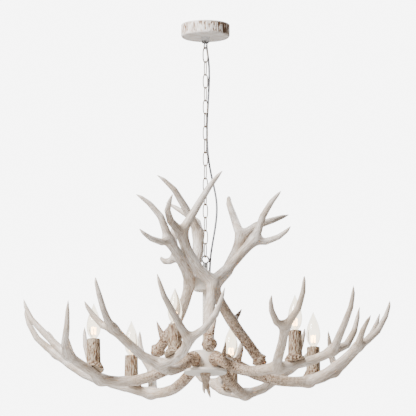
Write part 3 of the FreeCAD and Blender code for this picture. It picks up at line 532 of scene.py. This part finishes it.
welded_link = link_tree()
for number in range(1, link_count + 1):
    length, width, wire = first_link if number == 1 else other_link
    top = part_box(f"chain_link_{number:02d}")[1][2]
    link = made_by(welded_link, f"link_{number:02d}", Link_length=length, Link_width=width, Wire=wire,
                   Roundness=link_roundness, Paint=chain_paint.material)
    # the tree lays the link flat in X and Y: stand it up, then turn it round the chain
    turn = chain_turn + math.pi / 2 * ((number - 1) % 2)
    stand = Matrix.Rotation(turn, 4, "Z") @ Matrix.Rotation(math.pi / 2, 4, "X")
    middle = top - length / 2
    link.data.transform(Matrix.Translation((0, 0, middle)) @ stand)
    spots = points_of(link)
    from_end = length / 2 - np.abs(spots[:, 2] - middle)
    worn = np.clip(1 - np.abs(from_end) / worn_reach, 0, 1) * 0.8
    if number == 1:
        beside = spots[:, 0] * math.cos(chain_turn) + spots[:, 1] * math.sin(chain_turn)
        threaded = (np.abs(spots[:, 2] - middle) < thread_reach) & (beside < -0.003)
        worn = np.maximum(worn, threaded * 0.5)
    carry(link, "rubbed", worn)
    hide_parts(f"chain_link_{number:02d}")
    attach(link, f"link_{number:02d}")

# ---- Hub loop, hubs, pipe and plate ----
# The column: a cast loop in worn grey metal, two spun cups, a tube between them, and a round plate below, all
# in smooth cream paint.

finished("hub_loop", grey_metal)
cream_paint = Finish("cream_paint", 0.45)
cream_shade = cream_paint.blended(paint(240, 234, 226), paint(222, 210, 194), cream_paint.grain(35.0, 4.0))
speck = cream_paint.step(cream_paint.grain(420.0, 2.0), 0.66, 0.74)
cream_paint.coloured(cream_paint.blended(cream_shade, paint(176, 150, 120), speck))
cream_paint.relief(cream_paint.grain(300.0, 4.0), 0.0005, 0.3)
for node in ("upper_hub", "upper_hub_lid", "centre_pipe", "lower_hub", "bottom_plate"):
    finished(node, cream_paint)

# ---- Antlers ----
# Nine castings of one antler in resin, painted off-white over brown: six lie round the lower hub with the
# lamps on their arms, and three stand turned over against the upper hub. All are held by a screw at the burr.

# Each branch: where it starts, its thickness there, and its steps out, aside and up, with the thickness after
# each, all in millimetres, as in the CAD.
antler_branches = {
    "beam": ("burr", 27, [(33, -8, -14, 26.5), (40, -8, -19, 26), (44, -8, -13, 25.5), (43, -4, -3, 25),
                          (44, 2, 3, 24)]),
    "lamp_arm": ("beam", 23, [(26, 44, 10, 22.5), (35, 32, 14, 21.5), (35, 20, 19, 19.5)]),
    "outer_tine": ("lamp_arm", 18, [(19, -5, 19, 17), (34, -12, 40, 14.5), (30, -15, 36, 12),
                                    (14, -11, 30, 8.5), (5, -7, 18, 3)]),
    "inner_tine": ("lamp_arm", 16, [(19, 34, 23, 14.5), (1, 29, 37, 12), (-2, 17, 34, 8.5), (-4, 13, 25, 3)]),
    "side_arm": ("beam", 21.5, [(34, -36, 18, 20.5), (33, -28, 28, 19.5), (29, -27, 30, 18)]),
    "side_outer_tine": ("side_arm", 16.5, [(19, -11, 17, 15.5), (24, -6, 24, 13.5), (20, -5, 36, 11),
                                           (9, -2, 24, 7.5), (3, 1, 14, 3)]),
    "side_inner_tine": ("side_arm", 14, [(1, -23, 13, 13), (4, -22, 25, 11), (4, -15, 18, 8),
                                         (3, -8, 12, 3)]),
}
brow_thickness = 13
lying_brow = {"brow": ("brow_root", brow_thickness, [(6, -3, 18, 11), (6, -3, 16, 7.5), (4, -2, 14, 3)])}
standing_beam = {"beam": ("burr", 27, [(-27, 0, 30, 26.5), (-28, 2, 31, 26), (-24, 4, 33, 25.5),
                                       (-22, 5, 37, 25), (-20, 4.5, 42.2, 24)])}
lying_brow_root = (25, -6, -12)
brow_starts = (28.0, 40.0)  # a brow tine's place along the lying and the standing beam
# each standing antler's brow tine: its root from the burr, and its steps
standing_brows = [
    ((-22, 4, 26), [(8, 5, 17, 11), (5, 5, 16, 7.5), (2, 4, 12, 3)]),
    ((-22, 4, 26), [(5, 5, 18, 11), (3, 5, 17, 7.5), (2, 5, 15, 3)]),
    ((-72, 6, 92), [(11, 0, 9, 12), (11, 0, 13, 8.5), (9, -1, 14, 3)]),
]
lamp_bearings = [170, 228, 283, 343.5, 38, 105]
standing_bearings = [86, 212, 322]
# each standing antler's lean: its axis, its degrees, and its fork's rise
standing_leans = [((0, 0, 1), 0, 0), ((-0.738, -0.461, -0.492), 16.3, 7), ((-0.9285, 0.3714, 0), 10.8, 0)]
crown = ("lamp_arm", "outer_tine", "inner_tine", "side_arm", "side_outer_tine", "side_inner_tine")
lower_hub_level = -839.0
lower_burr = (50, -21)  # distance from the lamp's axis and bearing, on the antler at bearing 0
standing_burr = Vector((155, -1, -823))
crown_turn = (160.2, Vector((-0.5188, -0.1670, -0.8385)))  # turns the lying crown over: degrees and axis
lamp_place = Vector((0.2767, 0.0001, -0.8665))  # of the sleeve's foot on the antler at bearing 0, in metres


def grown(branches, starts, first_length=0.0):
    """Each branch as rows of x, y, z, thickness and length from the burr."""
    lines = {}
    for name, (root, thickness, steps) in branches.items():
        if root in lines:
            spot, reached = lines[root][-1][:3], lines[root][-1][4]
        else:
            spot, reached = np.array(starts[root], float), first_length
        rows = [[*spot, thickness, reached]]
        for out, side, rise, thick in steps:
            spot = spot + np.array([out, side, rise])
            reached += math.hypot(out, side, rise)
            rows.append([*spot, thick, reached])
        lines[name] = np.array(rows)
    return lines


def turned(lines, matrix):
    """The branches moved by a 4x4 matrix."""
    grid = np.array(matrix)
    moved = {}
    for name, rows in lines.items():
        rows = rows.copy()
        rows[:, :3] = rows[:, :3] @ grid[:3, :3].T + grid[:3, 3]
        moved[name] = rows
    return moved


lying = grown(antler_branches, {"burr": (0, 0, 0)})
lying.update(grown(lying_brow, {"brow_root": lying_brow_root}, brow_starts[0]))
burr_spot = (Matrix.Rotation(math.radians(lower_burr[1]), 4, "Z") @ Vector((lower_burr[0], 0, 0))
             + Vector((0, 0, lower_hub_level)))


def lamp_seat(bearing):
    """Where a lamp stands on the lying antler of this bearing."""
    return np.array(Matrix.Rotation(-math.radians(bearing), 4, "Z") @ lamp_place)


def lying_antler(bearing):
    """The branches of a lower antler."""
    return turned(lying, Matrix.Rotation(-math.radians(bearing), 4, "Z") @ Matrix.Translation(burr_spot))


def standing_antler(number):
    """The branches of an upper antler: a stem of its own, with the lying antler's crown turned over on it."""
    lines = grown(standing_beam, {"burr": standing_burr})
    fork = Vector(lines["beam"][-1][:3])
    lying_fork = Vector(lying["beam"][-1][:3])
    upright = Matrix.Rotation(math.radians(crown_turn[0]), 4, crown_turn[1])
    onto = Matrix.Translation(fork) @ upright @ Matrix.Translation(-lying_fork)
    lines.update(turned({name: lying[name] for name in crown}, onto))
    root, steps = standing_brows[number - 1]
    brow = {"brow": ("brow_root", brow_thickness, steps)}
    lines.update(grown(brow, {"brow_root": standing_burr + Vector(root)}, brow_starts[1]))
    axis, degrees, lift = standing_leans[number - 1]
    lean = (Matrix.Translation(fork + Vector((0, 0, lift)))
            @ Matrix.Rotation(math.radians(degrees), 4, Vector(axis)) @ Matrix.Translation(-fork))
    bearing = Matrix.Rotation(-math.radians(standing_bearings[number - 1]), 4, "Z")
    return turned(lines, bearing @ lean)


def close_stations(lines, apart=4.0):
    """Dense stations along every branch: place, thickness, length from the burr, the branch's way there,
    the share of the branch up to there, and the branch's number."""
    rows = []
    for number, line in enumerate(lines.values()):
        whole = line[-1][4] - line[0][4]
        for start, end in zip(line, line[1:]):
            way = end[:3] - start[:3]
            count = max(2, int(np.linalg.norm(way) / apart))
            for step in np.arange(count) / count:
                row = start + (end - start) * step
                rows.append([*row, *(way / np.linalg.norm(way)), (row[4] - line[0][4]) / whole, number])
        rows.append([*line[-1], *(way / np.linalg.norm(way)), 1.0, number])
    return np.array(rows)


# the tine beside each tine, and how far it bows away from it
tine_bow = {"outer_tine": ("inner_tine", 8), "inner_tine": ("outer_tine", 11),
            "side_outer_tine": ("side_inner_tine", 8), "side_inner_tine": ("side_outer_tine", 10)}


def bowed(piece, lines):
    """Each tine bows away from the tine beside it, as the arms of a lyre do. Gives the bowed branches."""
    rows = close_stations(lines)
    spots = points_of(piece)
    station = rows[nearest(spots * 1000, rows)]
    curved = {}
    for number, (name, line) in enumerate(lines.items()):
        curved[name] = line.copy()
        if name in tine_bow:
            beside, depth = tine_bow[name]
            chord = line[-1, :3] - line[0, :3]
            chord /= np.linalg.norm(chord)
            apart = line[:, :3].mean(0) - lines[beside][:, :3].mean(0)
            apart -= chord * apart.dot(chord)
            swing = apart / np.linalg.norm(apart) * depth * 4
            share = (line[:, 4] - line[0, 4]) / (line[-1, 4] - line[0, 4])
            curved[name][:, :3] += (share * (1 - share))[:, None] * swing
            mine = station[:, 9] == number
            share = station[mine, 8]
            spots[mine] += (share * (1 - share))[:, None] * swing / 1000
    settle(piece, spots)
    return curved


def nearest(spots, rows):
    """The index of the station whose skin is nearest to each spot."""
    best = np.empty(len(spots), int)
    at_once = 4000  # spots, to save memory
    for start in range(0, len(spots), at_once):
        block = spots[start:start + at_once]
        away = np.linalg.norm(block[:, None] - rows[None, :, :3], axis=2) - rows[None, :, 3] / 2
        best[start:start + at_once] = away.argmin(1)
    return best


# how much fuller than its CAD solid each branch is
lying_fullness = {"beam": 1.04, "lamp_arm": 1.08, "outer_tine": 1.2, "inner_tine": 1.35, "side_arm": 1.16,
                  "side_outer_tine": 1.22, "side_inner_tine": 1.35, "brow": 1.1}
standing_fullness = {"beam": 1.04, "lamp_arm": 1.32, "outer_tine": 1.3, "inner_tine": 1.35, "side_arm": 1.32,
                     "side_outer_tine": 1.3, "side_inner_tine": 1.35, "brow": 1.1}
fork_web = 6.0  # thickness that a fork gains in its crook
sunk_root = 3.2  # a branch's root lies this deep in its parent, so a fork has no bulge at its back
root_length = 26.0
swell_rounds = 4
largest_swell = 8


def filled_out(piece, lines, fullness, kept):
    """Swells the arms and tines to their full thickness and webs the forks. kept is 0 where nothing moves."""
    for _ in range(swell_rounds):
        spots = points_of(piece)
        gaps = []
        for name, line in lines.items():
            rows = close_stations({name: line})
            away = np.full(len(spots), np.inf)
            for row in rows:
                root = 0 if name == "beam" else max(1 - (row[4] - rows[0, 4]) / root_length, 0)
                skin = row[3] / 2 * fullness[name] - sunk_root * root
                away = np.minimum(away, np.linalg.norm(spots * 1000 - row[:3], axis=1) - skin)
            gaps.append(away)
        joined = -fork_web * np.log(sum(np.exp(-np.clip(gap, -30, 60) / fork_web) for gap in gaps))
        swell = np.clip(-joined, 0, largest_swell) * 0.5 * kept / 1000
        settle(piece, spots + normals_of(piece) * swell[:, None])
        relaxed(piece, 2, keep_full=False)


antler_paint = Finish("antiqued_resin", 0.46)
age = antler_paint.stored("age")
groove = antler_paint.stored("groove")
streak_place = antler_paint.add("ShaderNodeAttribute", attribute_name="streak").outputs["Vector"]
streak = antler_paint.step(antler_paint.grain(1.0, 5.0, 0.65, streak_place), 0.42, 0.62)
# large cream clouds, laid at random, are painted warm shade: they stand in for the beige on the shaded sides
warm_shade_clouds = antler_paint.step(antler_paint.grain(16.0, 4.0), 0.42, 0.7)
white = antler_paint.blended(paint(242, 234, 226), paint(212, 196, 178), warm_shade_clouds)
streaked = antler_paint.blended(white, paint(150, 124, 98), antler_paint.times(streak, 0.75))
warm = antler_paint.blended(streaked, paint(190, 162, 132), antler_paint.times(age, 0.8))
stipple = antler_paint.step(antler_paint.grain(210.0, 4.0, 0.75), 0.44, 0.58)
stippled = antler_paint.times(stipple, antler_paint.step(age, 0.36, 0.86))
brown = antler_paint.blended(warm, paint(92, 62, 40), stippled)
# brown in the grooves: partly the brown under the paint, partly painted shade in the cuts
groove_brown_and_shade = antler_paint.step(groove, 0.35, 1.0, 0.0, 0.8)
antler_paint.coloured(antler_paint.blended(brown, paint(120, 86, 58), groove_brown_and_shade))
antler_paint.relief(antler_paint.grain(210.0, 5.0, 0.65), 0.0014, 0.4)

antler_voxel = 0.0019
plain_length = 30  # of the beam at the burr, in millimetres, where the CAD's thickness stays
seat_radius = 0.017
smooth_radius = 0.024  # round the lamp's foot, where the skin stays smooth
burr_reach = 70  # how far the burr's pearls run out along the beam, in millimetres
pearl_size = 0.0042
pearl_height = 0.0008
wave_size = 0.03
wave_height = 0.0006
antler_groove_size = 0.0042
antler_groove_depth = 0.0015
flow_radius = 0.012  # of the round that grooves and streaks are drawn on
flow_stretch = 0.13  # grooves and streaks run along the branch: its length counts for this share
streak_scale = 420  # streaks to the metre


def worked_antler(node, name, lines, fullness, brown_reach, seed, seats, tint):
    """The casting with its forks rounded, grooves along its beam, and the pearled skin at its burr. The brown
    wash fades over brown_reach, from the burr, and tint is how much of it the whole antler has."""
    antler = fine_copy(node, name, antler_voxel)
    lines = bowed(antler, lines)
    relaxed(antler, 40)
    rows = close_stations(lines)
    spots = points_of(antler)
    kept = np.clip((rows[nearest(spots * 1000, rows), 4] - plain_length) / 30, 0, 1)
    for seat in seats:
        beside = np.hypot(spots[:, 0] - seat[0], spots[:, 1] - seat[1])
        kept *= np.clip((beside - seat_radius) / 0.006 + (spots[:, 2] < seat[2] - 0.012), 0, 1)
    filled_out(antler, lines, fullness, kept)

    spots = points_of(antler)
    ways = normals_of(antler)
    station = rows[nearest(spots * 1000, rows)]
    thickness, length, way = station[:, 3], station[:, 4], station[:, 5:8]
    out = spots * 1000 - station[:, :3]
    side = np.cross(way, np.array([0.31, 0.22, 0.93]))
    side /= np.linalg.norm(side, axis=1)[:, None]
    up = np.cross(side, way)
    turn = np.arctan2((out * up).sum(1), (out * side).sum(1))
    # a place on the branch's skin, drawn out along the branch, for grooves and streaks
    flow = np.stack([np.cos(turn) * flow_radius, np.sin(turn) * flow_radius, length / 1000 * flow_stretch], 1)

    old = np.clip(1.1 - length / brown_reach, 0, 1) ** 1.2
    near_burr = np.clip(1 - np.abs(length - 2) / burr_reach, 0, 1)
    stout = np.clip(thickness / 20, 0, 1) ** 2
    ridges = rough(flow + seed, antler_groove_size, seed) + 0.5 * rough(flow + seed, 0.0022, seed + 1)
    cut = np.clip(ridges - 0.12, 0, 1) * stout * (0.35 + 0.65 * old)
    pearls = rough(spots, pearl_size, seed + 2) * pearl_height + rough(spots, 0.0020, seed + 3) * 0.0004
    waves = rough(spots, wave_size, seed + 4) * wave_height * stout
    free = np.ones(len(spots))
    for seat in seats:
        free *= np.clip((np.linalg.norm(spots - seat, axis=1) - smooth_radius) / 0.006, 0, 1)
    lift = (pearls * (near_burr + 0.25 * old) * 1.6 - cut * antler_groove_depth + waves) * free
    settle(antler, spots + ways * lift[:, None])
    cloudy = 0.1 * rough(spots, 0.012, seed + 5)
    carry(antler, "age", np.clip(old * 0.85 + near_burr * 0.3 + cloudy + tint, 0, 1))
    # how deep each point lies in a groove; the paint browns it there, partly as painted shade
    carry(antler, "groove", np.clip(cut * 1.5 * (0.25 + old), 0, 1))
    carry_place(antler, "streak", flow * streak_scale + seed)
    dressed(antler, node, "fixture", antler_paint)


for number, bearing in enumerate(lamp_bearings, start=1):
    # the antlers on the right are a little browner
    tint = 0.2 + 0.22 * max(math.cos(math.radians(bearing)), 0)
    worked_antler(f"lower_antler_{number}", f"lying_antler_{number}", lying_antler(bearing), lying_fullness,
                  210, number * 0.37, [lamp_seat(bearing)], tint)
for number, brown_reach in ((1, 150), (2, 300), (3, 330)):
    worked_antler(f"standing_antler_{number}", f"upright_antler_{number}", standing_antler(number),
                  standing_fullness, brown_reach, 4 + number * 0.41, [], 0.03)

# ---- Finial ----
# The forked tip of an antler in the same resin, cut flat and screwed up under the plate. Its brown is deepest
# at the top.

tip_voxel = 0.0012
tip_top = -0.8695
tip_groove_stretch = 0.16
tip_groove_size = 0.0032
tip_groove_depth = 0.0009

tip = fine_copy("finial", "hanging_tip", tip_voxel)
relaxed(tip, 25)
relaxed(tip, 2, keep_full=False)
spots = points_of(tip)
ways = normals_of(tip)
below = np.clip((tip_top - spots[:, 2]) / 0.004, 0, 1)
flow = np.stack([spots[:, 0], spots[:, 1], spots[:, 2] * tip_groove_stretch], 1)
ridges = rough(flow, tip_groove_size, 8.0) + 0.4 * rough(flow, tip_groove_size / 2, 9.0)
cut = np.clip(ridges - 0.05, 0, 1) * below
settle(tip, spots - ways * (cut * tip_groove_depth)[:, None])
carry(tip, "age", np.clip(0.75 + (spots[:, 2] + 0.87) * 9, 0.15, 1))
# how deep each point lies in a groove; the paint browns it there, partly as painted shade
carry(tip, "groove", np.clip(cut * 1.2, 0, 1))
carry_place(tip, "streak", flow * streak_scale)
dressed(tip, "finial", "fixture", antler_paint)

# ---- Candle sleeves ----
# Six resin sleeves cast like the foot of an antler, standing on the lamp arms: deep upright grooves up the
# side and a knobbed burr at the foot, tan on the ridges and deep brown in the cuts, partly the casting's
# brown, partly painted shade.

sleeve_paint = Finish("grooved_sleeve_resin", 0.55)
depth = sleeve_paint.stored("depth")
speckled = sleeve_paint.step(sleeve_paint.grain(330.0, 4.0, 0.7), 0.42, 0.66)
ridge = sleeve_paint.blended(paint(190, 173, 151), paint(122, 98, 76), speckled)
# the cuts go browner, darkest where deepest and a little darker at the foot: partly the casting's brown,
# partly painted shade
half = sleeve_paint.blended(ridge, paint(132, 102, 74), sleeve_paint.step(depth, 0.05, 0.6))
sleeve_paint.coloured(sleeve_paint.blended(half, paint(70, 48, 32), sleeve_paint.step(depth, 0.6, 1.1)))
sleeve_paint.relief(sleeve_paint.grain(600.0, 4.0), 0.0006, 0.4)

sleeve_voxel = 0.0010
sleeve_rim = -0.792
sleeve_radius = 0.0165
bore_clear = 0.0145  # what lies within this radius is the bore, and stays plain
foot_top = -0.846
groove_stretch = 0.16  # the grooves stand upright: their length counts for this share
sleeve_groove_size = 0.0021
knob_size = 0.0048
sleeve_groove_depth = 0.0016

for number, bearing in enumerate(lamp_bearings, start=1):
    sleeve = fine_copy(f"candle_sleeve_{number}", f"sleeve_{number}", sleeve_voxel)
    relaxed(sleeve, 1, keep_full=False)
    spots = points_of(sleeve)
    ways = normals_of(sleeve)
    local = spots - lamp_seat(bearing)
    from_axis = np.hypot(local[:, 0], local[:, 1])
    turn = np.arctan2(local[:, 1], local[:, 0])
    outward = (ways[:, :2] * local[:, :2]).sum(1) / np.maximum(from_axis, 1e-6)
    skin = (outward > 0.2) & (from_axis > bore_clear)
    foot = np.clip((foot_top - spots[:, 2]) / 0.006, 0, 1)
    rolled = np.stack([np.cos(turn) * sleeve_radius, np.sin(turn) * sleeve_radius,
                       (spots[:, 2] - sleeve_rim) * groove_stretch], 1)
    seed = number * 2.0
    grooves = rough(rolled, sleeve_groove_size, seed) + 0.6 * rough(rolled, 0.0011, seed + 1)
    knobs = rough(spots, knob_size, seed + 0.5) + 0.4 * rough(spots, 0.0022, number * 3.0)
    side_cut = np.clip(grooves * 1.4 + 0.22, 0, 1) * (1 - foot)
    foot_cut = np.clip(-knobs * 1.6 + 0.2, 0, 1) * foot
    shallow_top = np.clip((sleeve_rim - spots[:, 2]) / 0.003, 0.3, 1)
    cut = (side_cut + foot_cut) * skin * shallow_top
    swell = np.clip(knobs, 0, 1) * foot * skin
    settle(sleeve, spots + ways * ((swell - cut) * sleeve_groove_depth)[:, None])
    # depth sets the brown of the cuts, which is partly painted shade
    carry(sleeve, "depth", np.clip(cut * 1.25 + 0.12 * foot, 0, 1))
    dressed(sleeve, f"candle_sleeve_{number}", "fixture", sleeve_paint)

# ---- Lamp sockets ----
# A plain round holder in moulded white nylon, out of sight inside each sleeve. It holds the bulb, whose screw
# cap goes into its bore.

for number in range(1, len(lamp_bearings) + 1):
    finished(f"lamp_socket_{number}", nylon)

# ---- Candle bulbs ----
# A clear blown envelope drawn out to a flame's tip, a dull brass screw cap in the socket, and a glowing
# filament that zigzags round a glass stem. All of it lifts out with the bulb.

glass_sides = 40
cap_sides = 28
stem_sides = 20
bulb_radius = 0.0175
bulb_height = 0.088
glass_wall = 0.0007
cap_height = 0.017
cap_radius = 0.006
filament_radius = 0.0056  # of the cage that the filament's strands stand in
filament_foot = 0.012
filament_rise = 0.018
filament_wire = 0.0016
filament_strands = 7
strand_steps = 8
# the glass's outline, in shares of the bulb's radius and height
envelope_outline = [(0.36, 0.0), (0.365, 0.022), (0.44, 0.042), (0.6, 0.082), (0.78, 0.14), (0.92, 0.225),
                    (1.0, 0.33), (0.97, 0.44), (0.87, 0.55), (0.71, 0.66), (0.52, 0.76), (0.34, 0.845),
                    (0.2, 0.91), (0.11, 0.955), (0.055, 0.985), (0.02, 0.998)]

clear_glass = Finish("clear_glass", 0.0)
# the glass's warm tint, in soft random clouds, is painted glow from the filament
clear_glass.coloured(clear_glass.blended(paint(255, 252, 246), paint(255, 246, 228), clear_glass.grain(14.0)))
clear_glass.surface.inputs["Transmission Weight"].default_value = 1.0
clear_glass.surface.inputs["IOR"].default_value = 1.45
brass = Finish("nickel_brass_cap", 0.3)
brass.surface.inputs["Metallic"].default_value = 1.0
brass.coloured(brass.blended(paint(118, 108, 92), paint(92, 82, 66), brass.grain(200.0)))
glow = Finish("glowing_filament", 0.5)
glow.coloured(paint(255, 190, 110))
glow.surface.inputs["Emission Color"].default_value = (1.0, 0.7, 0.36, 1)
glow.surface.inputs["Emission Strength"].default_value = 80.0


def revolved(name, outline, sides):
    """A closed turned mesh about the Z axis. The outline is (radius, height), and a radius of 0 is a pole."""
    shape = bmesh.new()
    rings = []
    for radius, height in outline:
        if radius == 0:
            rings.append([shape.verts.new((0, 0, height))])
        else:
            angles = [math.tau * i / sides for i in range(sides)]
            rings.append([shape.verts.new((radius * math.cos(a), radius * math.sin(a), height))
                          for a in angles])
    for lower, upper in zip(rings, rings[1:]):
        for i in range(sides):
            j = (i + 1) % sides
            corners = [lower[i % len(lower)], lower[j % len(lower)],
                       upper[j % len(upper)], upper[i % len(upper)]]
            corners = list(dict.fromkeys(corners))  # a pole is one corner, not two
            if len(corners) > 2:
                shape.faces.new(corners)
    bmesh.ops.recalc_face_normals(shape, faces=shape.faces)
    mesh = bpy.data.meshes.new(name)
    shape.to_mesh(mesh)
    shape.free()
    mesh.shade_smooth()
    return mesh


def wire_mesh(name, points, thickness):
    """A bent round wire as a mesh."""
    curve = bpy.data.curves.new(name, "CURVE")
    curve.dimensions = "3D"
    spline = curve.splines.new("NURBS")
    spline.points.add(len(points) - 1)
    for point, spot in zip(spline.points, points):
        point.co = (*spot, 1)
    spline.order_u = 3
    spline.use_endpoint_u = True
    curve.bevel_depth = thickness / 2
    curve.bevel_resolution = 3
    curve.use_fill_caps = True
    holder = bpy.data.objects.new(name, curve)
    mesh = bpy.data.meshes.new_from_object(holder)
    bpy.data.objects.remove(holder)
    return mesh


outer = [(share * bulb_radius, level * bulb_height) for share, level in envelope_outline] + [(0, bulb_height)]
inner = [(max(radius - glass_wall, 0), glass_wall + height * 0.984) for radius, height in outer[:-2]]
inner = [spot for spot in inner if spot[0] > 0.0002] + [(0, bulb_height - 2 * glass_wall)]
envelope = revolved("envelope", outer, glass_sides)
lining = revolved("lining", [(0, inner[0][1])] + inner, glass_sides)
lining.flip_normals()
stem = revolved("stem", [(0, 0.0008), (0.0035, 0.0008), (0.0030, 0.010), (0.0016, 0.014), (0.0012, 0.022),
                         (0, 0.0225)], stem_sides)
collar = [(0, 0.0022), (0.0070, 0.0022), (0.0070, 0.0003), (cap_radius, 0.0003), (cap_radius, -0.003)]
thread = [(cap_radius - (0.0002 if i % 2 else 0.0008), -0.0035 - i * 0.0011) for i in range(11)]
contact = [(0.0042, -0.0158), (0.002, -0.0168), (0, -cap_height)]
cap = revolved("cap", collar + thread + contact, cap_sides)
zigzag = []
for i in range(filament_strands * strand_steps + 1):
    strand, step = divmod(i, strand_steps)
    swing = math.pi * (strand / filament_strands * 2 - 1) * 0.9
    up = step / strand_steps if strand % 2 == 0 else 1 - step / strand_steps
    zigzag.append((filament_radius * math.sin(swing), filament_radius * math.cos(swing),
                   filament_foot + filament_rise * up))
filament = wire_mesh("filament", zigzag, filament_wire)
support_wire = 0.0004
support_bend = [(0.001, 0.010), (0.0035, 0.012), (0.0039, 0.0145)]
supports = [wire_mesh("support", [(out * way, 0, height) for out, height in support_bend], support_wire)
            for way in (-1, 1)]

for number, bearing in enumerate(lamp_bearings, start=1):
    low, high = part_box(f"candle_bulb_{number}")
    place = Matrix.Translation(((low[0] + high[0]) / 2, (low[1] + high[1]) / 2, low[2] + cap_height))
    place = place @ Matrix.Rotation(-math.radians(bearing) + 0.6, 4, "Z")
    for name, meshes, finish in (("glass", (envelope, lining), clear_glass), ("stem", (stem,), clear_glass),
                                 ("cap", (cap,), brass), ("filament", (filament, *supports), glow)):
        joined = bmesh.new()
        for mesh in meshes:
            joined.from_mesh(mesh)
        joined.transform(place)
        data = bpy.data.meshes.new(f"bulb_{name}_{number}")
        joined.to_mesh(data)
        joined.free()
        data.materials.append(finish.material)
        data.shade_smooth()
        piece = bpy.data.objects.new(f"bulb_{name}_{number}", data)
        bpy.context.scene.collection.objects.link(piece)
        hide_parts(f"candle_bulb_{number}")
        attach(piece, f"bulb_{number}")
